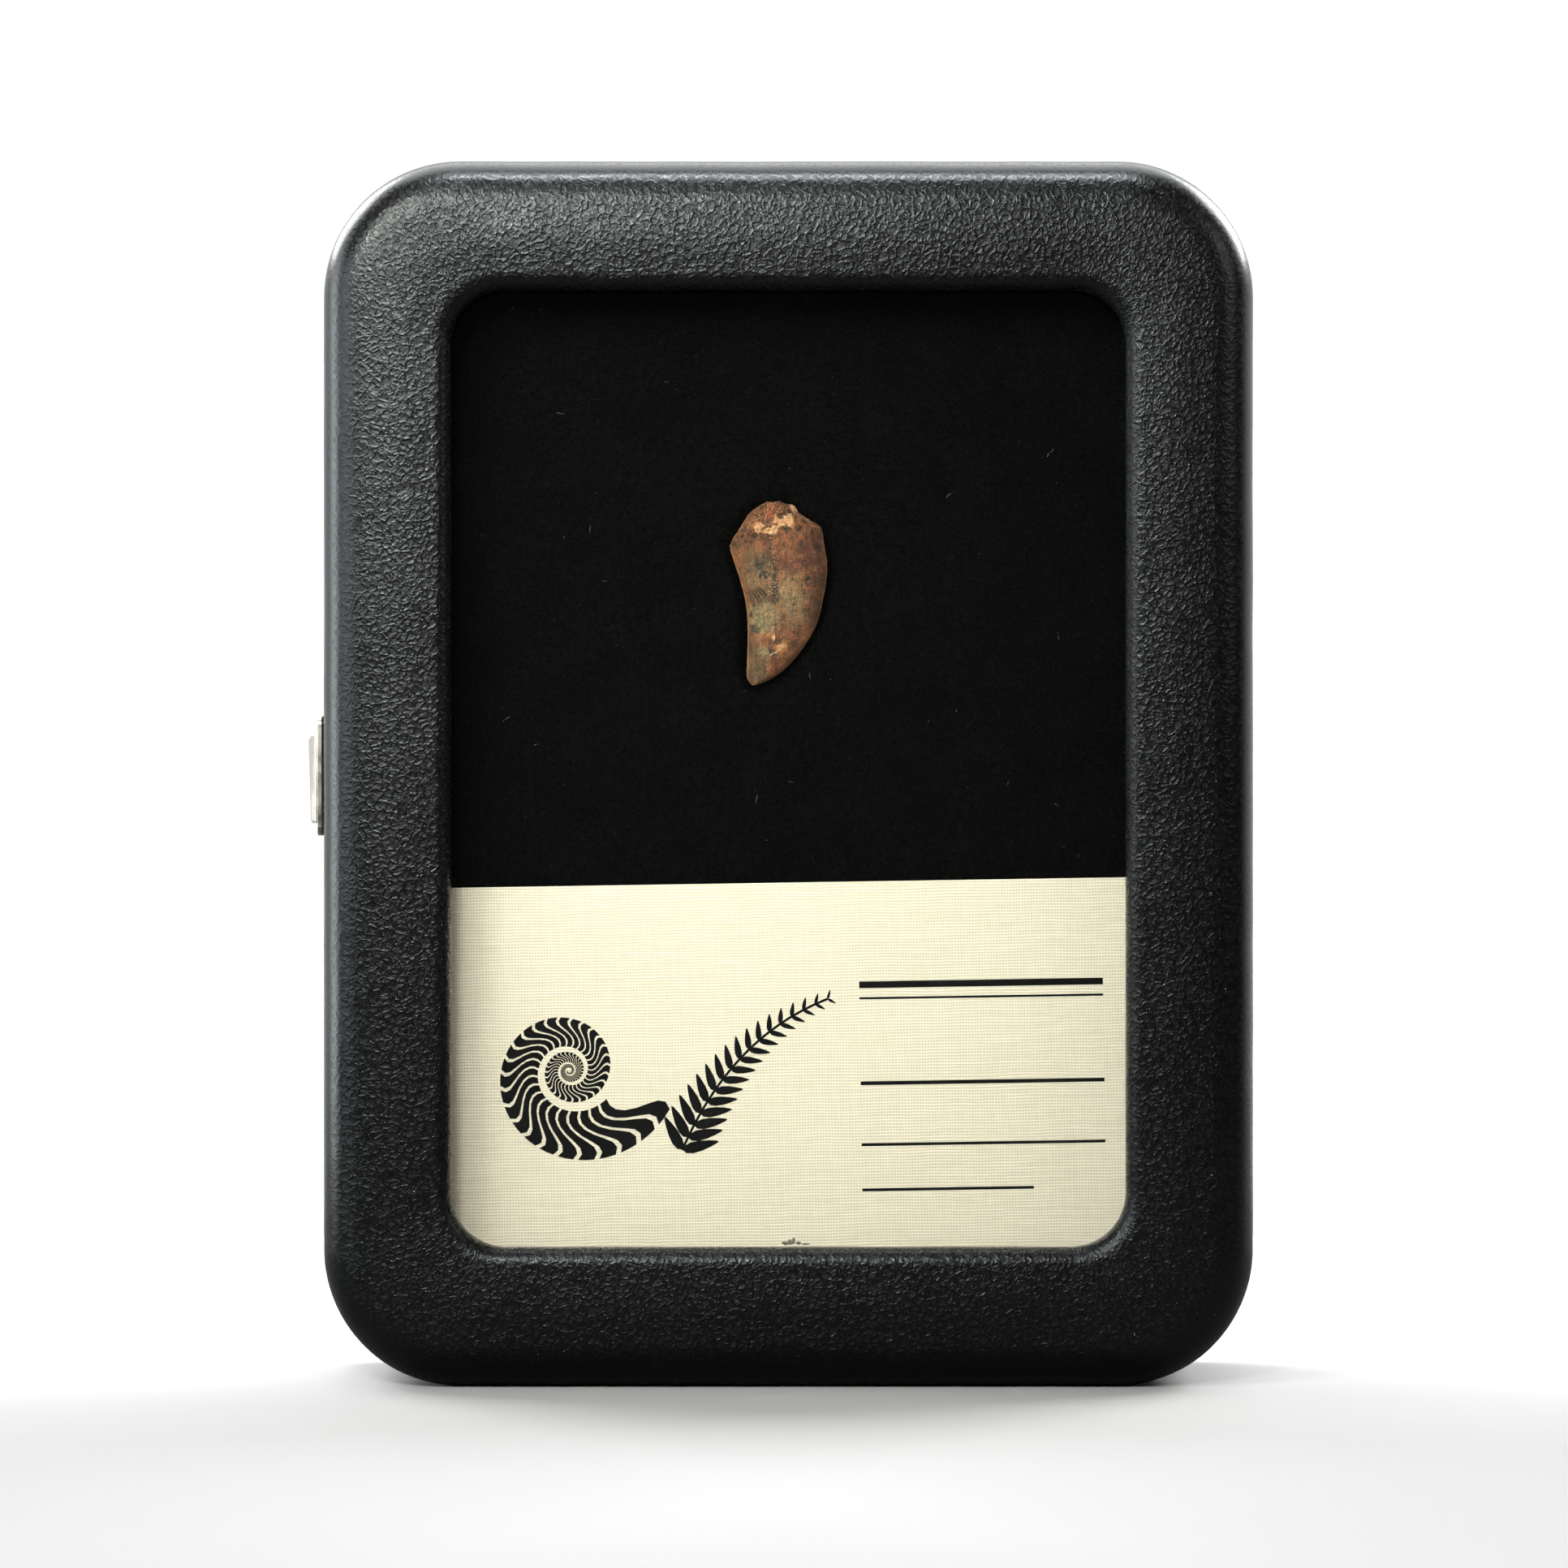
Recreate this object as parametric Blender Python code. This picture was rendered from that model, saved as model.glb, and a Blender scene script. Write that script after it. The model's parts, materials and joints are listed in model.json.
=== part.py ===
# A fossil tooth in its display case. The case is a black leatherette box that stands
# on its narrow lower side. Its glazed lid is hinged on the right and held by a snap
# clasp on the left. Inside, a velvet-covered foam block carries the tooth, with a paper
# label card below it.
#
# Units are metres: X runs to the right, Y to the back and Z up. The origin is on the
# floor, under the middle of the whole outline, clasp included.

import math

import bmesh
import bpy
from mathutils import Matrix, Vector, noise

MM = 0.001

# Case
CASE_WIDTH = 82 * MM
CASE_HEIGHT = 108 * MM
CASE_DEPTH = 27 * MM
CORNER_RADIUS = 12 * MM
WALL = 2.4 * MM
BACK_WALL = 2 * MM
BACK_ROUNDING = 2 * MM
SEAM_Y = -2.5 * MM
SEAM_GAP = 0.4 * MM
SEAM_ROUNDING = 1.6 * MM
CLEARANCE = 0.3 * MM

# Front frame of the lid, around its window
BAND_WIDTH = 11.35 * MM
SHOULDER_RADIUS = 4 * MM
BAND_CROWN = 0.25 * MM
WINDOW_ROLL = 1.3 * MM
WINDOW_RADIUS = 4.8 * MM
WINDOW_TRIM = 0.6 * MM
WINDOW_RISE = 0.43 * MM
REBATE_DEPTH = 2.5 * MM

# Window glass and the frame that holds it in the lid
GLASS_SIZE = (72 * MM, 98 * MM)
GLASS_RADIUS = 8 * MM
GLASS_THICKNESS = 1.5 * MM
GLASS_CHAMFER = 0.25 * MM
RETAINER_SIZE = (74.4 * MM, 100.4 * MM)
RETAINER_OPENING = (62 * MM, 88 * MM)
RETAINER_RADIUS = 8.2 * MM
RETAINER_OPENING_RADIUS = 6 * MM
RETAINER_THICKNESS = 1.5 * MM

# Foam block
FOAM_SIDE_GAP = 1 * MM
FOAM_PROUD = 4 * MM
FOAM_ROUNDING = 1.2 * MM
POCKET_DEPTH = 1.75 * MM
POCKET_GAP = 0.35 * MM

# Tooth, hung with its broken root up
TOOTH_CENTRE_X = -0.87 * MM
TOOTH_CENTRE_ABOVE_MIDDLE = 15.94 * MM
TOOTH_THICKNESS = 3.4 * MM
TOOTH_SUNK = 1.4 * MM
TOOTH_TIP_Z = -8.13 * MM
TOOTH_ROOT_Z = 8.12 * MM
BREAK_Z = 4.9 * MM
BREAK_SLOPE = 0.22
BREAK_LEDGE = 0.22 * MM
LUMP_HEIGHT = 0.19 * MM
LUMP_SIZE = 1.1 * MM
CREST_HEIGHT = 0.14 * MM
CREST_HALF_WIDTH = 0.9 * MM

# Label card
CARD_SIZE = (72 * MM, 35.5 * MM)
CARD_THICKNESS = 0.35 * MM
CARD_GAP = 0.25 * MM
CARD_TOP_BELOW_MIDDLE = 9.67 * MM
CARD_TILT = math.radians(0.9)

# Snap clasp on the left side
CLASP_BELOW_MIDDLE = 0.2 * MM
CLASP_REACH = 1.7 * MM
CLASP_EAR_REACH = 0.7 * MM
CLASP_HEIGHT = 10.6 * MM
CLASP_CORNER = 0.8 * MM
TONGUE_TOP = 3.6 * MM
TONGUE_BOTTOM = -4.2 * MM
KEEPER_THICKNESS = 0.3 * MM
KEEPER_RIDGE = 0.2 * MM

# Two small butt hinges on the right side, in the seam
HINGE_SPREAD = 52 * MM
HINGE_LENGTH = 12 * MM
HINGE_INSET = 0.95 * MM
BARREL_RADIUS = 0.75 * MM
PIN_RADIUS = 0.3 * MM
PIN_HOLE_RADIUS = 0.42 * MM
END_KNUCKLE = 3.2 * MM
KNUCKLE_GAP = 0.3 * MM
LEAF_THICKNESS = 0.4 * MM
BASE_LEAF_DEPTH = 5.8 * MM
LID_LEAF_DEPTH = 5 * MM

# Resolution of the round stretches
CORNER_STEPS = 10
ARC_STEPS = 4
SHOULDER_STEPS = 6
BARREL_SIDES = 20
TOOTH_LEVELS = 34
TOOTH_STEPS_ACROSS = 14

# Places that follow from the sizes above
FRONT_Y = -CASE_DEPTH / 2
BACK_Y = CASE_DEPTH / 2
LID_SEAM_Y = SEAM_Y - SEAM_GAP / 2
BASE_SEAM_Y = SEAM_Y + SEAM_GAP / 2
REBATE_Y = FRONT_Y + REBATE_DEPTH
GLASS_FRONT_Y = REBATE_Y + CLEARANCE
GLASS_BACK_Y = GLASS_FRONT_Y + GLASS_THICKNESS
RETAINER_FRONT_Y = GLASS_BACK_Y + CLEARANCE
FOAM_FRONT_Y = SEAM_Y - FOAM_PROUD
FOAM_BACK_Y = BACK_Y - BACK_WALL - CLEARANCE
CASE_X = CLASP_REACH / 2
MIDDLE_Z = CASE_HEIGHT / 2
LEFT_X = CASE_X - CASE_WIDTH / 2
RIGHT_X = CASE_X + CASE_WIDTH / 2
HINGE_AXIS = Vector((RIGHT_X - HINGE_INSET, SEAM_Y, MIDDLE_Z))


def clear_scene():
    for thing in list(bpy.data.objects):
        bpy.data.objects.remove(thing, do_unlink=True)


def make_material(name, colour, roughness, metallic=0.0, transmission=0.0):
    material = bpy.data.materials.new(name)
    material.use_nodes = True
    shader = material.node_tree.nodes["Principled BSDF"]
    shader.inputs["Base Color"].default_value = (*colour, 1.0)
    shader.inputs["Roughness"].default_value = roughness
    shader.inputs["Metallic"].default_value = metallic
    shader.inputs["Transmission Weight"].default_value = transmission
    material.diffuse_color = (*colour, 1.0)
    return material


def make_object(name, mesh_data, material, location=(0, 0, 0), smooth_angle=30.0):
    # Turns a finished bmesh into a named object with its faces pointing outwards.
    bmesh.ops.recalc_face_normals(mesh_data, faces=mesh_data.faces)
    mesh = bpy.data.meshes.new(name)
    mesh_data.to_mesh(mesh)
    mesh_data.free()
    mesh.shade_smooth()
    mesh.set_sharp_from_angle(angle=math.radians(smooth_angle))
    mesh.materials.append(material)
    made = bpy.data.objects.new(name, mesh)
    made.location = location
    bpy.context.scene.collection.objects.link(made)
    return made


def hide_cutter(cutter):
    cutter.hide_render = True
    cutter.display_type = "WIRE"


def add_boolean(target, other, operation):
    # The other solid is only a guide once the modifier uses it.
    modifier = target.modifiers.new(other.name, "BOOLEAN")
    modifier.operation = operation
    modifier.solver = "EXACT"
    modifier.object = other
    hide_cutter(other)


def even_shading(target):
    # Lets the large faces set the shading after a boolean has cut or joined them.
    target.modifiers.new("even_shading", "WEIGHTED_NORMAL")


def arc_points(centre, radii, start_degrees, end_degrees, steps):
    # Points of an elliptical arc in a plane, both ends included.
    points = []
    for step in range(steps + 1):
        angle = math.radians(start_degrees + (end_degrees - start_degrees) * step / steps)
        points.append(
            (centre[0] + radii[0] * math.cos(angle), centre[1] + radii[1] * math.sin(angle))
        )
    return points


def rounded_rectangle(width, height, radius):
    # Outline as (x, z) pairs around the middle, with one arc for each corner.
    corners = (
        (width / 2 - radius, height / 2 - radius, 0),
        (radius - width / 2, height / 2 - radius, 90),
        (radius - width / 2, radius - height / 2, 180),
        (width / 2 - radius, radius - height / 2, 270),
    )
    outline = []
    for x, z, start in corners:
        outline += arc_points((x, z), (radius, radius), start, start + 90, CORNER_STEPS)
    return outline


def loft(rings, closed=False):
    # Skins a row of equal rings of points. A closed loft is a frame; an open one is capped.
    mesh_data = bmesh.new()
    rows = [[mesh_data.verts.new(point) for point in ring] for ring in rings]
    count = len(rings[0])
    pairs = list(zip(rows, rows[1:]))
    if closed:
        pairs.append((rows[-1], rows[0]))
    else:
        mesh_data.faces.new(rows[0])
        mesh_data.faces.new(list(reversed(rows[-1])))
    for near, far in pairs:
        for i in range(count):
            j = (i + 1) % count
            mesh_data.faces.new((near[i], near[j], far[j], far[i]))
    return mesh_data


def frame_ring(width, height, radius, y):
    return [(x, y, z) for x, z in rounded_rectangle(width, height, radius)]


def case_ring(inset, y):
    # A ring at a given inset from the outer side of the case.
    radius = CORNER_RADIUS - inset
    return frame_ring(CASE_WIDTH - 2 * inset, CASE_HEIGHT - 2 * inset, radius, y)


def prism(outline, bottom, top):
    # An upright solid over an outline of (x, y) pairs.
    return loft([[(x, y, z) for x, y in outline] for z in (bottom, top)])


def box(low, high):
    mesh_data = bmesh.new()
    bmesh.ops.create_cube(mesh_data, size=1)
    size = Vector(high) - Vector(low)
    bmesh.ops.scale(mesh_data, vec=size, verts=mesh_data.verts)
    bmesh.ops.translate(mesh_data, vec=(Vector(low) + Vector(high)) / 2, verts=mesh_data.verts)
    return mesh_data


def cylinder(radius, length, sides):
    mesh_data = bmesh.new()
    bmesh.ops.create_cone(
        mesh_data, cap_ends=True, segments=sides, radius1=radius, radius2=radius, depth=length
    )
    return mesh_data


def band_share(inset):
    # How far a ring lies on the way from the shoulder to the window, from 0 to 1.
    return min(max((inset - SHOULDER_RADIUS) / (BAND_WIDTH - SHOULDER_RADIUS), 0), 1)


def band_radius(inset):
    # Corner radius across the front frame: parallel over the shoulder, then even to the window.
    start = CORNER_RADIUS - SHOULDER_RADIUS
    if inset <= SHOULDER_RADIUS:
        return CORNER_RADIUS - inset
    return start + (WINDOW_RADIUS - start) * band_share(inset)


def lid_ring(inset, y, radius):
    # The frame is a little wider above and below than at the sides, and widest below.
    share = band_share(inset)
    height = CASE_HEIGHT - 2 * (inset + WINDOW_TRIM * share)
    ring = frame_ring(CASE_WIDTH - 2 * inset, height, radius, y)
    return [(x, y, z + WINDOW_RISE * share) for x, y, z in ring]


def lid_profile():
    # Section of the lid as (inset, y, corner radius), from its rim round the outside to the rebate.
    flank_y = FRONT_Y + SHOULDER_RADIUS
    band_y = FRONT_Y + BAND_CROWN
    roll_inset = BAND_WIDTH - WINDOW_ROLL
    outside = [(WALL, LID_SEAM_Y)]
    outside += arc_points(
        (SEAM_ROUNDING, LID_SEAM_Y - SEAM_ROUNDING),
        (SEAM_ROUNDING, SEAM_ROUNDING),
        90,
        180,
        ARC_STEPS,
    )
    outside += arc_points(
        (SHOULDER_RADIUS, flank_y),
        (SHOULDER_RADIUS, flank_y - band_y),
        180,
        270,
        SHOULDER_STEPS,
    )
    outside.append(((SHOULDER_RADIUS + roll_inset) / 2, FRONT_Y))
    outside += arc_points(
        (roll_inset, band_y + WINDOW_ROLL), (WINDOW_ROLL, WINDOW_ROLL), -90, 0, ARC_STEPS
    )
    outside.append((BAND_WIDTH, REBATE_Y))
    profile = [(inset, y, band_radius(inset)) for inset, y in outside]
    profile.append((WALL, REBATE_Y, CORNER_RADIUS - WALL))
    return profile


def base_profile():
    # Section of the tray as (inset, y), from its floor over the rim to the back.
    profile = [(WALL, BACK_Y - BACK_WALL), (WALL, BASE_SEAM_Y)]
    profile += arc_points(
        (SEAM_ROUNDING, BASE_SEAM_Y + SEAM_ROUNDING),
        (SEAM_ROUNDING, SEAM_ROUNDING),
        -90,
        -180,
        ARC_STEPS,
    )
    profile += arc_points(
        (BACK_ROUNDING, BACK_Y - BACK_ROUNDING),
        (BACK_ROUNDING, BACK_ROUNDING),
        180,
        90,
        ARC_STEPS,
    )
    return profile


def hinge_heights():
    return {"upper": HINGE_SPREAD / 2, "lower": -HINGE_SPREAD / 2}


def cut_for_hinges(shell):
    # Each hinge gets a round seat for its barrel and a slot for its two arms.
    seat = BARREL_RADIUS + CLEARANCE
    half_slot = SEAM_GAP / 2 + LEAF_THICKNESS + CLEARANCE
    meet = math.degrees(math.asin(half_slot / seat))
    outline = arc_points((0, 0), (seat, seat), -meet, meet, 2 * ARC_STEPS)
    slot_end = -(WALL - HINGE_INSET) - CLEARANCE
    outline += [(slot_end, half_slot), (slot_end, -half_slot)]
    half_length = HINGE_LENGTH / 2 + CLEARANCE
    for place, height in hinge_heights().items():
        cutter = make_object(
            f"{shell.name}_{place}_hinge_seat",
            prism(outline, -half_length, half_length),
            shell.data.materials[0],
            HINGE_AXIS + Vector((0, 0, height)),
        )
        add_boolean(shell, cutter, "DIFFERENCE")
    even_shading(shell)


def build_base_shell(material):
    rings = [case_ring(inset, y) for inset, y in base_profile()]
    shell = make_object("base_shell", loft(rings), material, (CASE_X, 0, MIDDLE_Z))
    cut_for_hinges(shell)
    return shell


def build_lid_shell(material):
    rings = [lid_ring(inset, y, radius) for inset, y, radius in lid_profile()]
    shell = make_object("lid_shell", loft(rings, closed=True), material, (CASE_X, 0, MIDDLE_Z))
    cut_for_hinges(shell)
    return shell


def build_window_glass(material):
    half = GLASS_THICKNESS / 2
    rings = []
    for inset, y in (
        (GLASS_CHAMFER, -half),
        (0, GLASS_CHAMFER - half),
        (0, half - GLASS_CHAMFER),
        (GLASS_CHAMFER, half),
    ):
        width, height = (size - 2 * inset for size in GLASS_SIZE)
        rings.append(frame_ring(width, height, GLASS_RADIUS - inset, y))
    return make_object(
        "window_glass", loft(rings), material, (CASE_X, GLASS_FRONT_Y + half, MIDDLE_Z)
    )


def build_glass_retainer(material):
    rings = []
    for (width, height), radius, y in (
        (RETAINER_SIZE, RETAINER_RADIUS, 0),
        (RETAINER_SIZE, RETAINER_RADIUS, RETAINER_THICKNESS),
        (RETAINER_OPENING, RETAINER_OPENING_RADIUS, RETAINER_THICKNESS),
        (RETAINER_OPENING, RETAINER_OPENING_RADIUS, 0),
    ):
        rings.append(frame_ring(width, height, radius, y))
    return make_object(
        "glass_retainer",
        loft(rings, closed=True),
        material,
        (CASE_X, RETAINER_FRONT_Y, MIDDLE_Z),
    )


def smooth_through(points, z):
    # Reads x at a height from points ordered by falling z, as a smooth curve through them.
    for i in range(len(points) - 1):
        (x1, z1), (x2, z2) = points[i], points[i + 1]
        if z1 >= z >= z2:
            x0, z0 = points[max(i - 1, 0)]
            x3, z3 = points[min(i + 2, len(points) - 1)]
            span = z2 - z1
            slope1 = (x2 - x0) / (z2 - z0) * span
            slope2 = (x3 - x1) / (z3 - z1) * span
            t = (z - z1) / span
            return (
                x1 * (2 * t**3 - 3 * t**2 + 1)
                + slope1 * (t**3 - 2 * t**2 + t)
                + x2 * (3 * t**2 - 2 * t**3)
                + slope2 * (t**3 - t**2)
            )
    return points[0][0] if z > points[0][1] else points[-1][0]


# The two cutting edges of the tooth, in millimetres from its middle, root first.
FRONT_EDGE_MM = (
    (-1.05, 8.12),
    (-2.45, 7.32),
    (-3.15, 6.2),
    (-3.95, 5.03),
    (-4.36, 4.3),
    (-4.1, 3.28),
    (-3.49, 1.47),
    (-2.93, -0.72),
    (-2.74, -2.68),
    (-2.77, -5.58),
    (-2.77, -7.54),
    (-2.35, -8.13),
)
REAR_EDGE_MM = (
    (-0.3, 8.12),
    (1.12, 7.85),
    (1.82, 7.13),
    (2.64, 6.59),
    (3.7, 6.1),
    (3.95, 5.03),
    (4.17, 3.55),
    (4.35, 2.41),
    (4.02, -0.14),
    (3.3, -2.9),
    (1.82, -5.29),
    (0.14, -7.03),
    (-1.15, -7.8),
    (-2.0, -8.13),
)


def tooth_edges(z):
    front = smooth_through(FRONT_EDGE_MM, z / MM) * MM
    rear = smooth_through(REAR_EDGE_MM, z / MM) * MM
    return front, rear


def tooth_heights(steps):
    # Heights from tip to root, closer together at both ends.
    middle = (TOOTH_ROOT_Z + TOOTH_TIP_Z) / 2
    half = (TOOTH_ROOT_Z - TOOTH_TIP_Z) / 2
    return [middle - half * math.cos(math.pi * i / steps) for i in range(steps + 1)]


def tooth_fullness(z):
    # Thickness as a share of the greatest: full at the root, thin at the tip, eased at the break.
    along = (z - TOOTH_TIP_Z) / (TOOTH_ROOT_Z - TOOTH_TIP_Z)
    body = 0.3 + 0.7 * math.sin(min(along / 0.7, 1) * math.pi / 2)
    broken = max(0, (along - 0.86) / 0.14)
    return body * (1 - 0.5 * broken**2)


def tooth_relief(x, z, share):
    # Height over the plain lens: a crest down the blade, and a lumpy ledge past the broken root.
    crest_x = -1.1 * MM
    crest = CREST_HEIGHT * math.exp(-(((x - crest_x) / CREST_HALF_WIDTH) ** 2))
    past_break = z - (BREAK_Z + BREAK_SLOPE * x)
    broken = min(max(past_break / (0.4 * MM), 0), 1)
    lumps = LUMP_HEIGHT * noise.noise(Vector((x, 0, z)) / LUMP_SIZE)
    edge_ease = math.sin(math.pi * share)
    return edge_ease * (crest * (1 - broken) - BREAK_LEDGE * broken + lumps * (0.5 + 2 * broken))


def build_tooth(material):
    # Each level section is a lens between the two cutting edges.
    rings = []
    for z in tooth_heights(TOOTH_LEVELS):
        front, rear = tooth_edges(z)
        half = TOOTH_THICKNESS / 2 * tooth_fullness(z)
        ring = []
        for i in range(2 * TOOTH_STEPS_ACROSS):
            turn = math.pi * i / TOOTH_STEPS_ACROSS
            share = (1 - math.cos(turn)) / 2
            side = math.copysign(1, math.sin(turn))
            x = front + (rear - front) * share
            depth = half * abs(math.sin(turn)) ** 1.2 + tooth_relief(x, z, share)
            ring.append((x, -side * depth, z))
        rings.append(ring)
    place = (
        CASE_X + TOOTH_CENTRE_X,
        FOAM_FRONT_Y - TOOTH_THICKNESS / 2 + TOOTH_SUNK,
        MIDDLE_Z + TOOTH_CENTRE_ABOVE_MIDDLE,
    )
    return make_object("tooth", loft(rings), material, place, smooth_angle=50.0)


def pocket_outline():
    # The outline of the tooth, widened by the pocket's gap.
    heights = tooth_heights(14)
    heights = [heights[0] - POCKET_GAP] + heights[1:-1] + [heights[-1] + POCKET_GAP]
    front, rear = [], []
    for z in heights:
        left, right = tooth_edges(min(max(z, TOOTH_TIP_Z), TOOTH_ROOT_Z))
        front.append((left - POCKET_GAP, z))
        rear.append((right + POCKET_GAP, z))
    return front + rear[::-1]


def build_foam_insert(material):
    inset = WALL + FOAM_SIDE_GAP
    middle_y = (FOAM_FRONT_Y + FOAM_BACK_Y) / 2
    half = (FOAM_BACK_Y - FOAM_FRONT_Y) / 2
    profile = [(inset, half)]
    profile += arc_points(
        (inset + FOAM_ROUNDING, FOAM_ROUNDING - half),
        (FOAM_ROUNDING, FOAM_ROUNDING),
        180,
        270,
        ARC_STEPS,
    )
    rings = [case_ring(step, y) for step, y in profile]
    foam = make_object("foam_insert", loft(rings), material, (CASE_X, middle_y, MIDDLE_Z))
    outline = pocket_outline()
    rings = [[(x, y, z) for x, z in outline] for y in (-POCKET_DEPTH, POCKET_DEPTH)]
    pocket = make_object(
        "tooth_pocket",
        loft(rings),
        material,
        (CASE_X + TOOTH_CENTRE_X, FOAM_FRONT_Y, MIDDLE_Z + TOOTH_CENTRE_ABOVE_MIDDLE),
    )
    add_boolean(foam, pocket, "DIFFERENCE")
    even_shading(foam)
    return foam


def build_label_card(material):
    width, height = CARD_SIZE
    half = (width / 2, CARD_THICKNESS / 2, height / 2)
    card = make_object(
        "label_card",
        box([-side for side in half], half),
        material,
        (
            CASE_X,
            FOAM_FRONT_Y - CARD_GAP - CARD_THICKNESS / 2,
            MIDDLE_Z - CARD_TOP_BELOW_MIDDLE - height / 2,
        ),
    )
    card.rotation_euler = (0, -CARD_TILT, 0)
    return card


def side_plate(reach_from, reach_to, y_from, y_to):
    # A plate with rounded corners, lying along the left side of the case.
    depth = y_to - y_from
    outline = rounded_rectangle(depth, CLASP_HEIGHT, CLASP_CORNER)
    middle = (y_from + y_to) / 2
    return loft([[(-reach, middle + y, z) for y, z in outline] for reach in (reach_from, reach_to)])


def clasp_place():
    return (LEFT_X, SEAM_Y, MIDDLE_Z - CLASP_BELOW_MIDDLE)


def build_clasp_tongue(material):
    # A spring plate on the lid. Its bulged tongue crosses the seam and ends in a hooked lip.
    plate = make_object(
        "clasp_tongue",
        side_plate(CLEARANCE, CLASP_EAR_REACH, -5.5 * MM, -0.5 * MM),
        material,
        clasp_place(),
    )
    under = 1.1 * MM
    lip = 0.9 * MM
    profile = (
        (0.5 * MM, -4.8 * MM),
        (0.5 * MM, -1.1 * MM),
        (under, -0.8 * MM),
        (under, 2.5 * MM),
        (lip, 2.7 * MM),
        (lip, 3.1 * MM),
        (1.3 * MM, 3.3 * MM),
        (CLASP_REACH, 2.8 * MM),
        (CLASP_REACH, -2.8 * MM),
        (1.35 * MM, -4.1 * MM),
        (0.9 * MM, -4.8 * MM),
    )
    levels = (
        (TONGUE_BOTTOM, 1.25 * MM),
        (TONGUE_BOTTOM + 0.25 * MM, CLASP_REACH - 0.2 * MM),
        (TONGUE_TOP - 0.4 * MM, CLASP_REACH),
        (TONGUE_TOP, 1.35 * MM),
    )
    rings = [[(-min(reach, top), y, z) for reach, y in profile] for z, top in levels]
    tongue = make_object("clasp_tongue_bulge", loft(rings), material, clasp_place())
    add_boolean(plate, tongue, "UNION")
    even_shading(plate)
    return plate, tongue


def build_clasp_keeper(material):
    # The fixed half on the base: a thin plate with the ridge that the lip snaps over.
    plate = make_object(
        "clasp_keeper",
        side_plate(CLEARANCE, CLEARANCE + KEEPER_THICKNESS, 0.6 * MM, 5.2 * MM),
        material,
        clasp_place(),
    )
    ridge_y = 1.9 * MM
    ridge_half = 0.35 * MM
    top = CLEARANCE + KEEPER_THICKNESS
    outline = [(-top + 0.1 * MM, ridge_y - ridge_half)]
    outline += [
        (-top - KEEPER_RIDGE * math.sin(turn), ridge_y - ridge_half * math.cos(turn))
        for turn in (math.pi * step / 6 for step in range(7))
    ]
    outline.append((-top + 0.1 * MM, ridge_y + ridge_half))
    half_height = 3.4 * MM
    ridge = make_object(
        "clasp_keeper_ridge", prism(outline, -half_height, half_height), material, clasp_place()
    )
    add_boolean(plate, ridge, "UNION")
    even_shading(plate)
    return plate


def knuckle_outline(side):
    # A barrel with the arm that carries it. Side is +1 for the base leaf and -1 for the lid leaf.
    near = SEAM_GAP / 2
    far = near + LEAF_THICKNESS
    start = 180 - math.degrees(math.asin(near / BARREL_RADIUS))
    end = 540 - math.degrees(math.asin(far / BARREL_RADIUS))
    leaf_x = -(WALL - HINGE_INSET) - CLEARANCE - LEAF_THICKNESS
    outline = arc_points((0, 0), (BARREL_RADIUS, BARREL_RADIUS), start, end, BARREL_SIDES)
    outline += [(leaf_x, far), (leaf_x, near)]
    return [(x, y * side) for x, y in outline]


def build_leaf(name, side, depth, knuckles, material, place):
    # A leaf is a plate inside the wall, with arms and barrels for its own knuckles.
    leaf_x = -(WALL - HINGE_INSET) - CLEARANCE - LEAF_THICKNESS
    y_ends = sorted((side * SEAM_GAP / 2, side * (SEAM_GAP / 2 + depth)))
    half = HINGE_LENGTH / 2
    leaf = make_object(
        name,
        box((leaf_x, y_ends[0], -half), (leaf_x + LEAF_THICKNESS, y_ends[1], half)),
        material,
        place,
    )
    for number, (bottom, top) in enumerate(knuckles):
        knuckle = make_object(
            f"{name}_knuckle_{number}", prism(knuckle_outline(side), bottom, top), material, place
        )
        add_boolean(leaf, knuckle, "UNION")
    bore = make_object(
        f"{name}_bore", cylinder(PIN_HOLE_RADIUS, 2 * HINGE_LENGTH, BARREL_SIDES), material, place
    )
    add_boolean(leaf, bore, "DIFFERENCE")
    even_shading(leaf)
    return leaf


def build_hinges(material, pivot):
    half = HINGE_LENGTH / 2
    inner = half - END_KNUCKLE
    end_knuckles = ((-half, -inner), (inner, half))
    middle_knuckle = ((KNUCKLE_GAP - inner, inner - KNUCKLE_GAP),)
    for place_name, height in hinge_heights().items():
        place = HINGE_AXIS + Vector((0, 0, height))
        name = f"hinge_{place_name}"
        build_leaf(f"{name}_base_leaf", 1, BASE_LEAF_DEPTH, end_knuckles, material, place)
        lid_leaf = build_leaf(
            f"{name}_lid_leaf", -1, LID_LEAF_DEPTH, middle_knuckle, material, place
        )
        hang_on(pivot, lid_leaf)
        make_object(
            f"{name}_pin", cylinder(PIN_RADIUS, HINGE_LENGTH, BARREL_SIDES), material, place
        )


def hang_on(pivot, *pieces):
    # Parents pieces to the pivot without moving them.
    for piece in pieces:
        piece.parent = pivot
        piece.matrix_parent_inverse = Matrix.Translation(pivot.location).inverted()


def add_lid_pivot():
    pivot = bpy.data.objects.new("lid_pivot", None)
    pivot.location = HINGE_AXIS
    bpy.context.scene.collection.objects.link(pivot)
    return pivot


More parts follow.
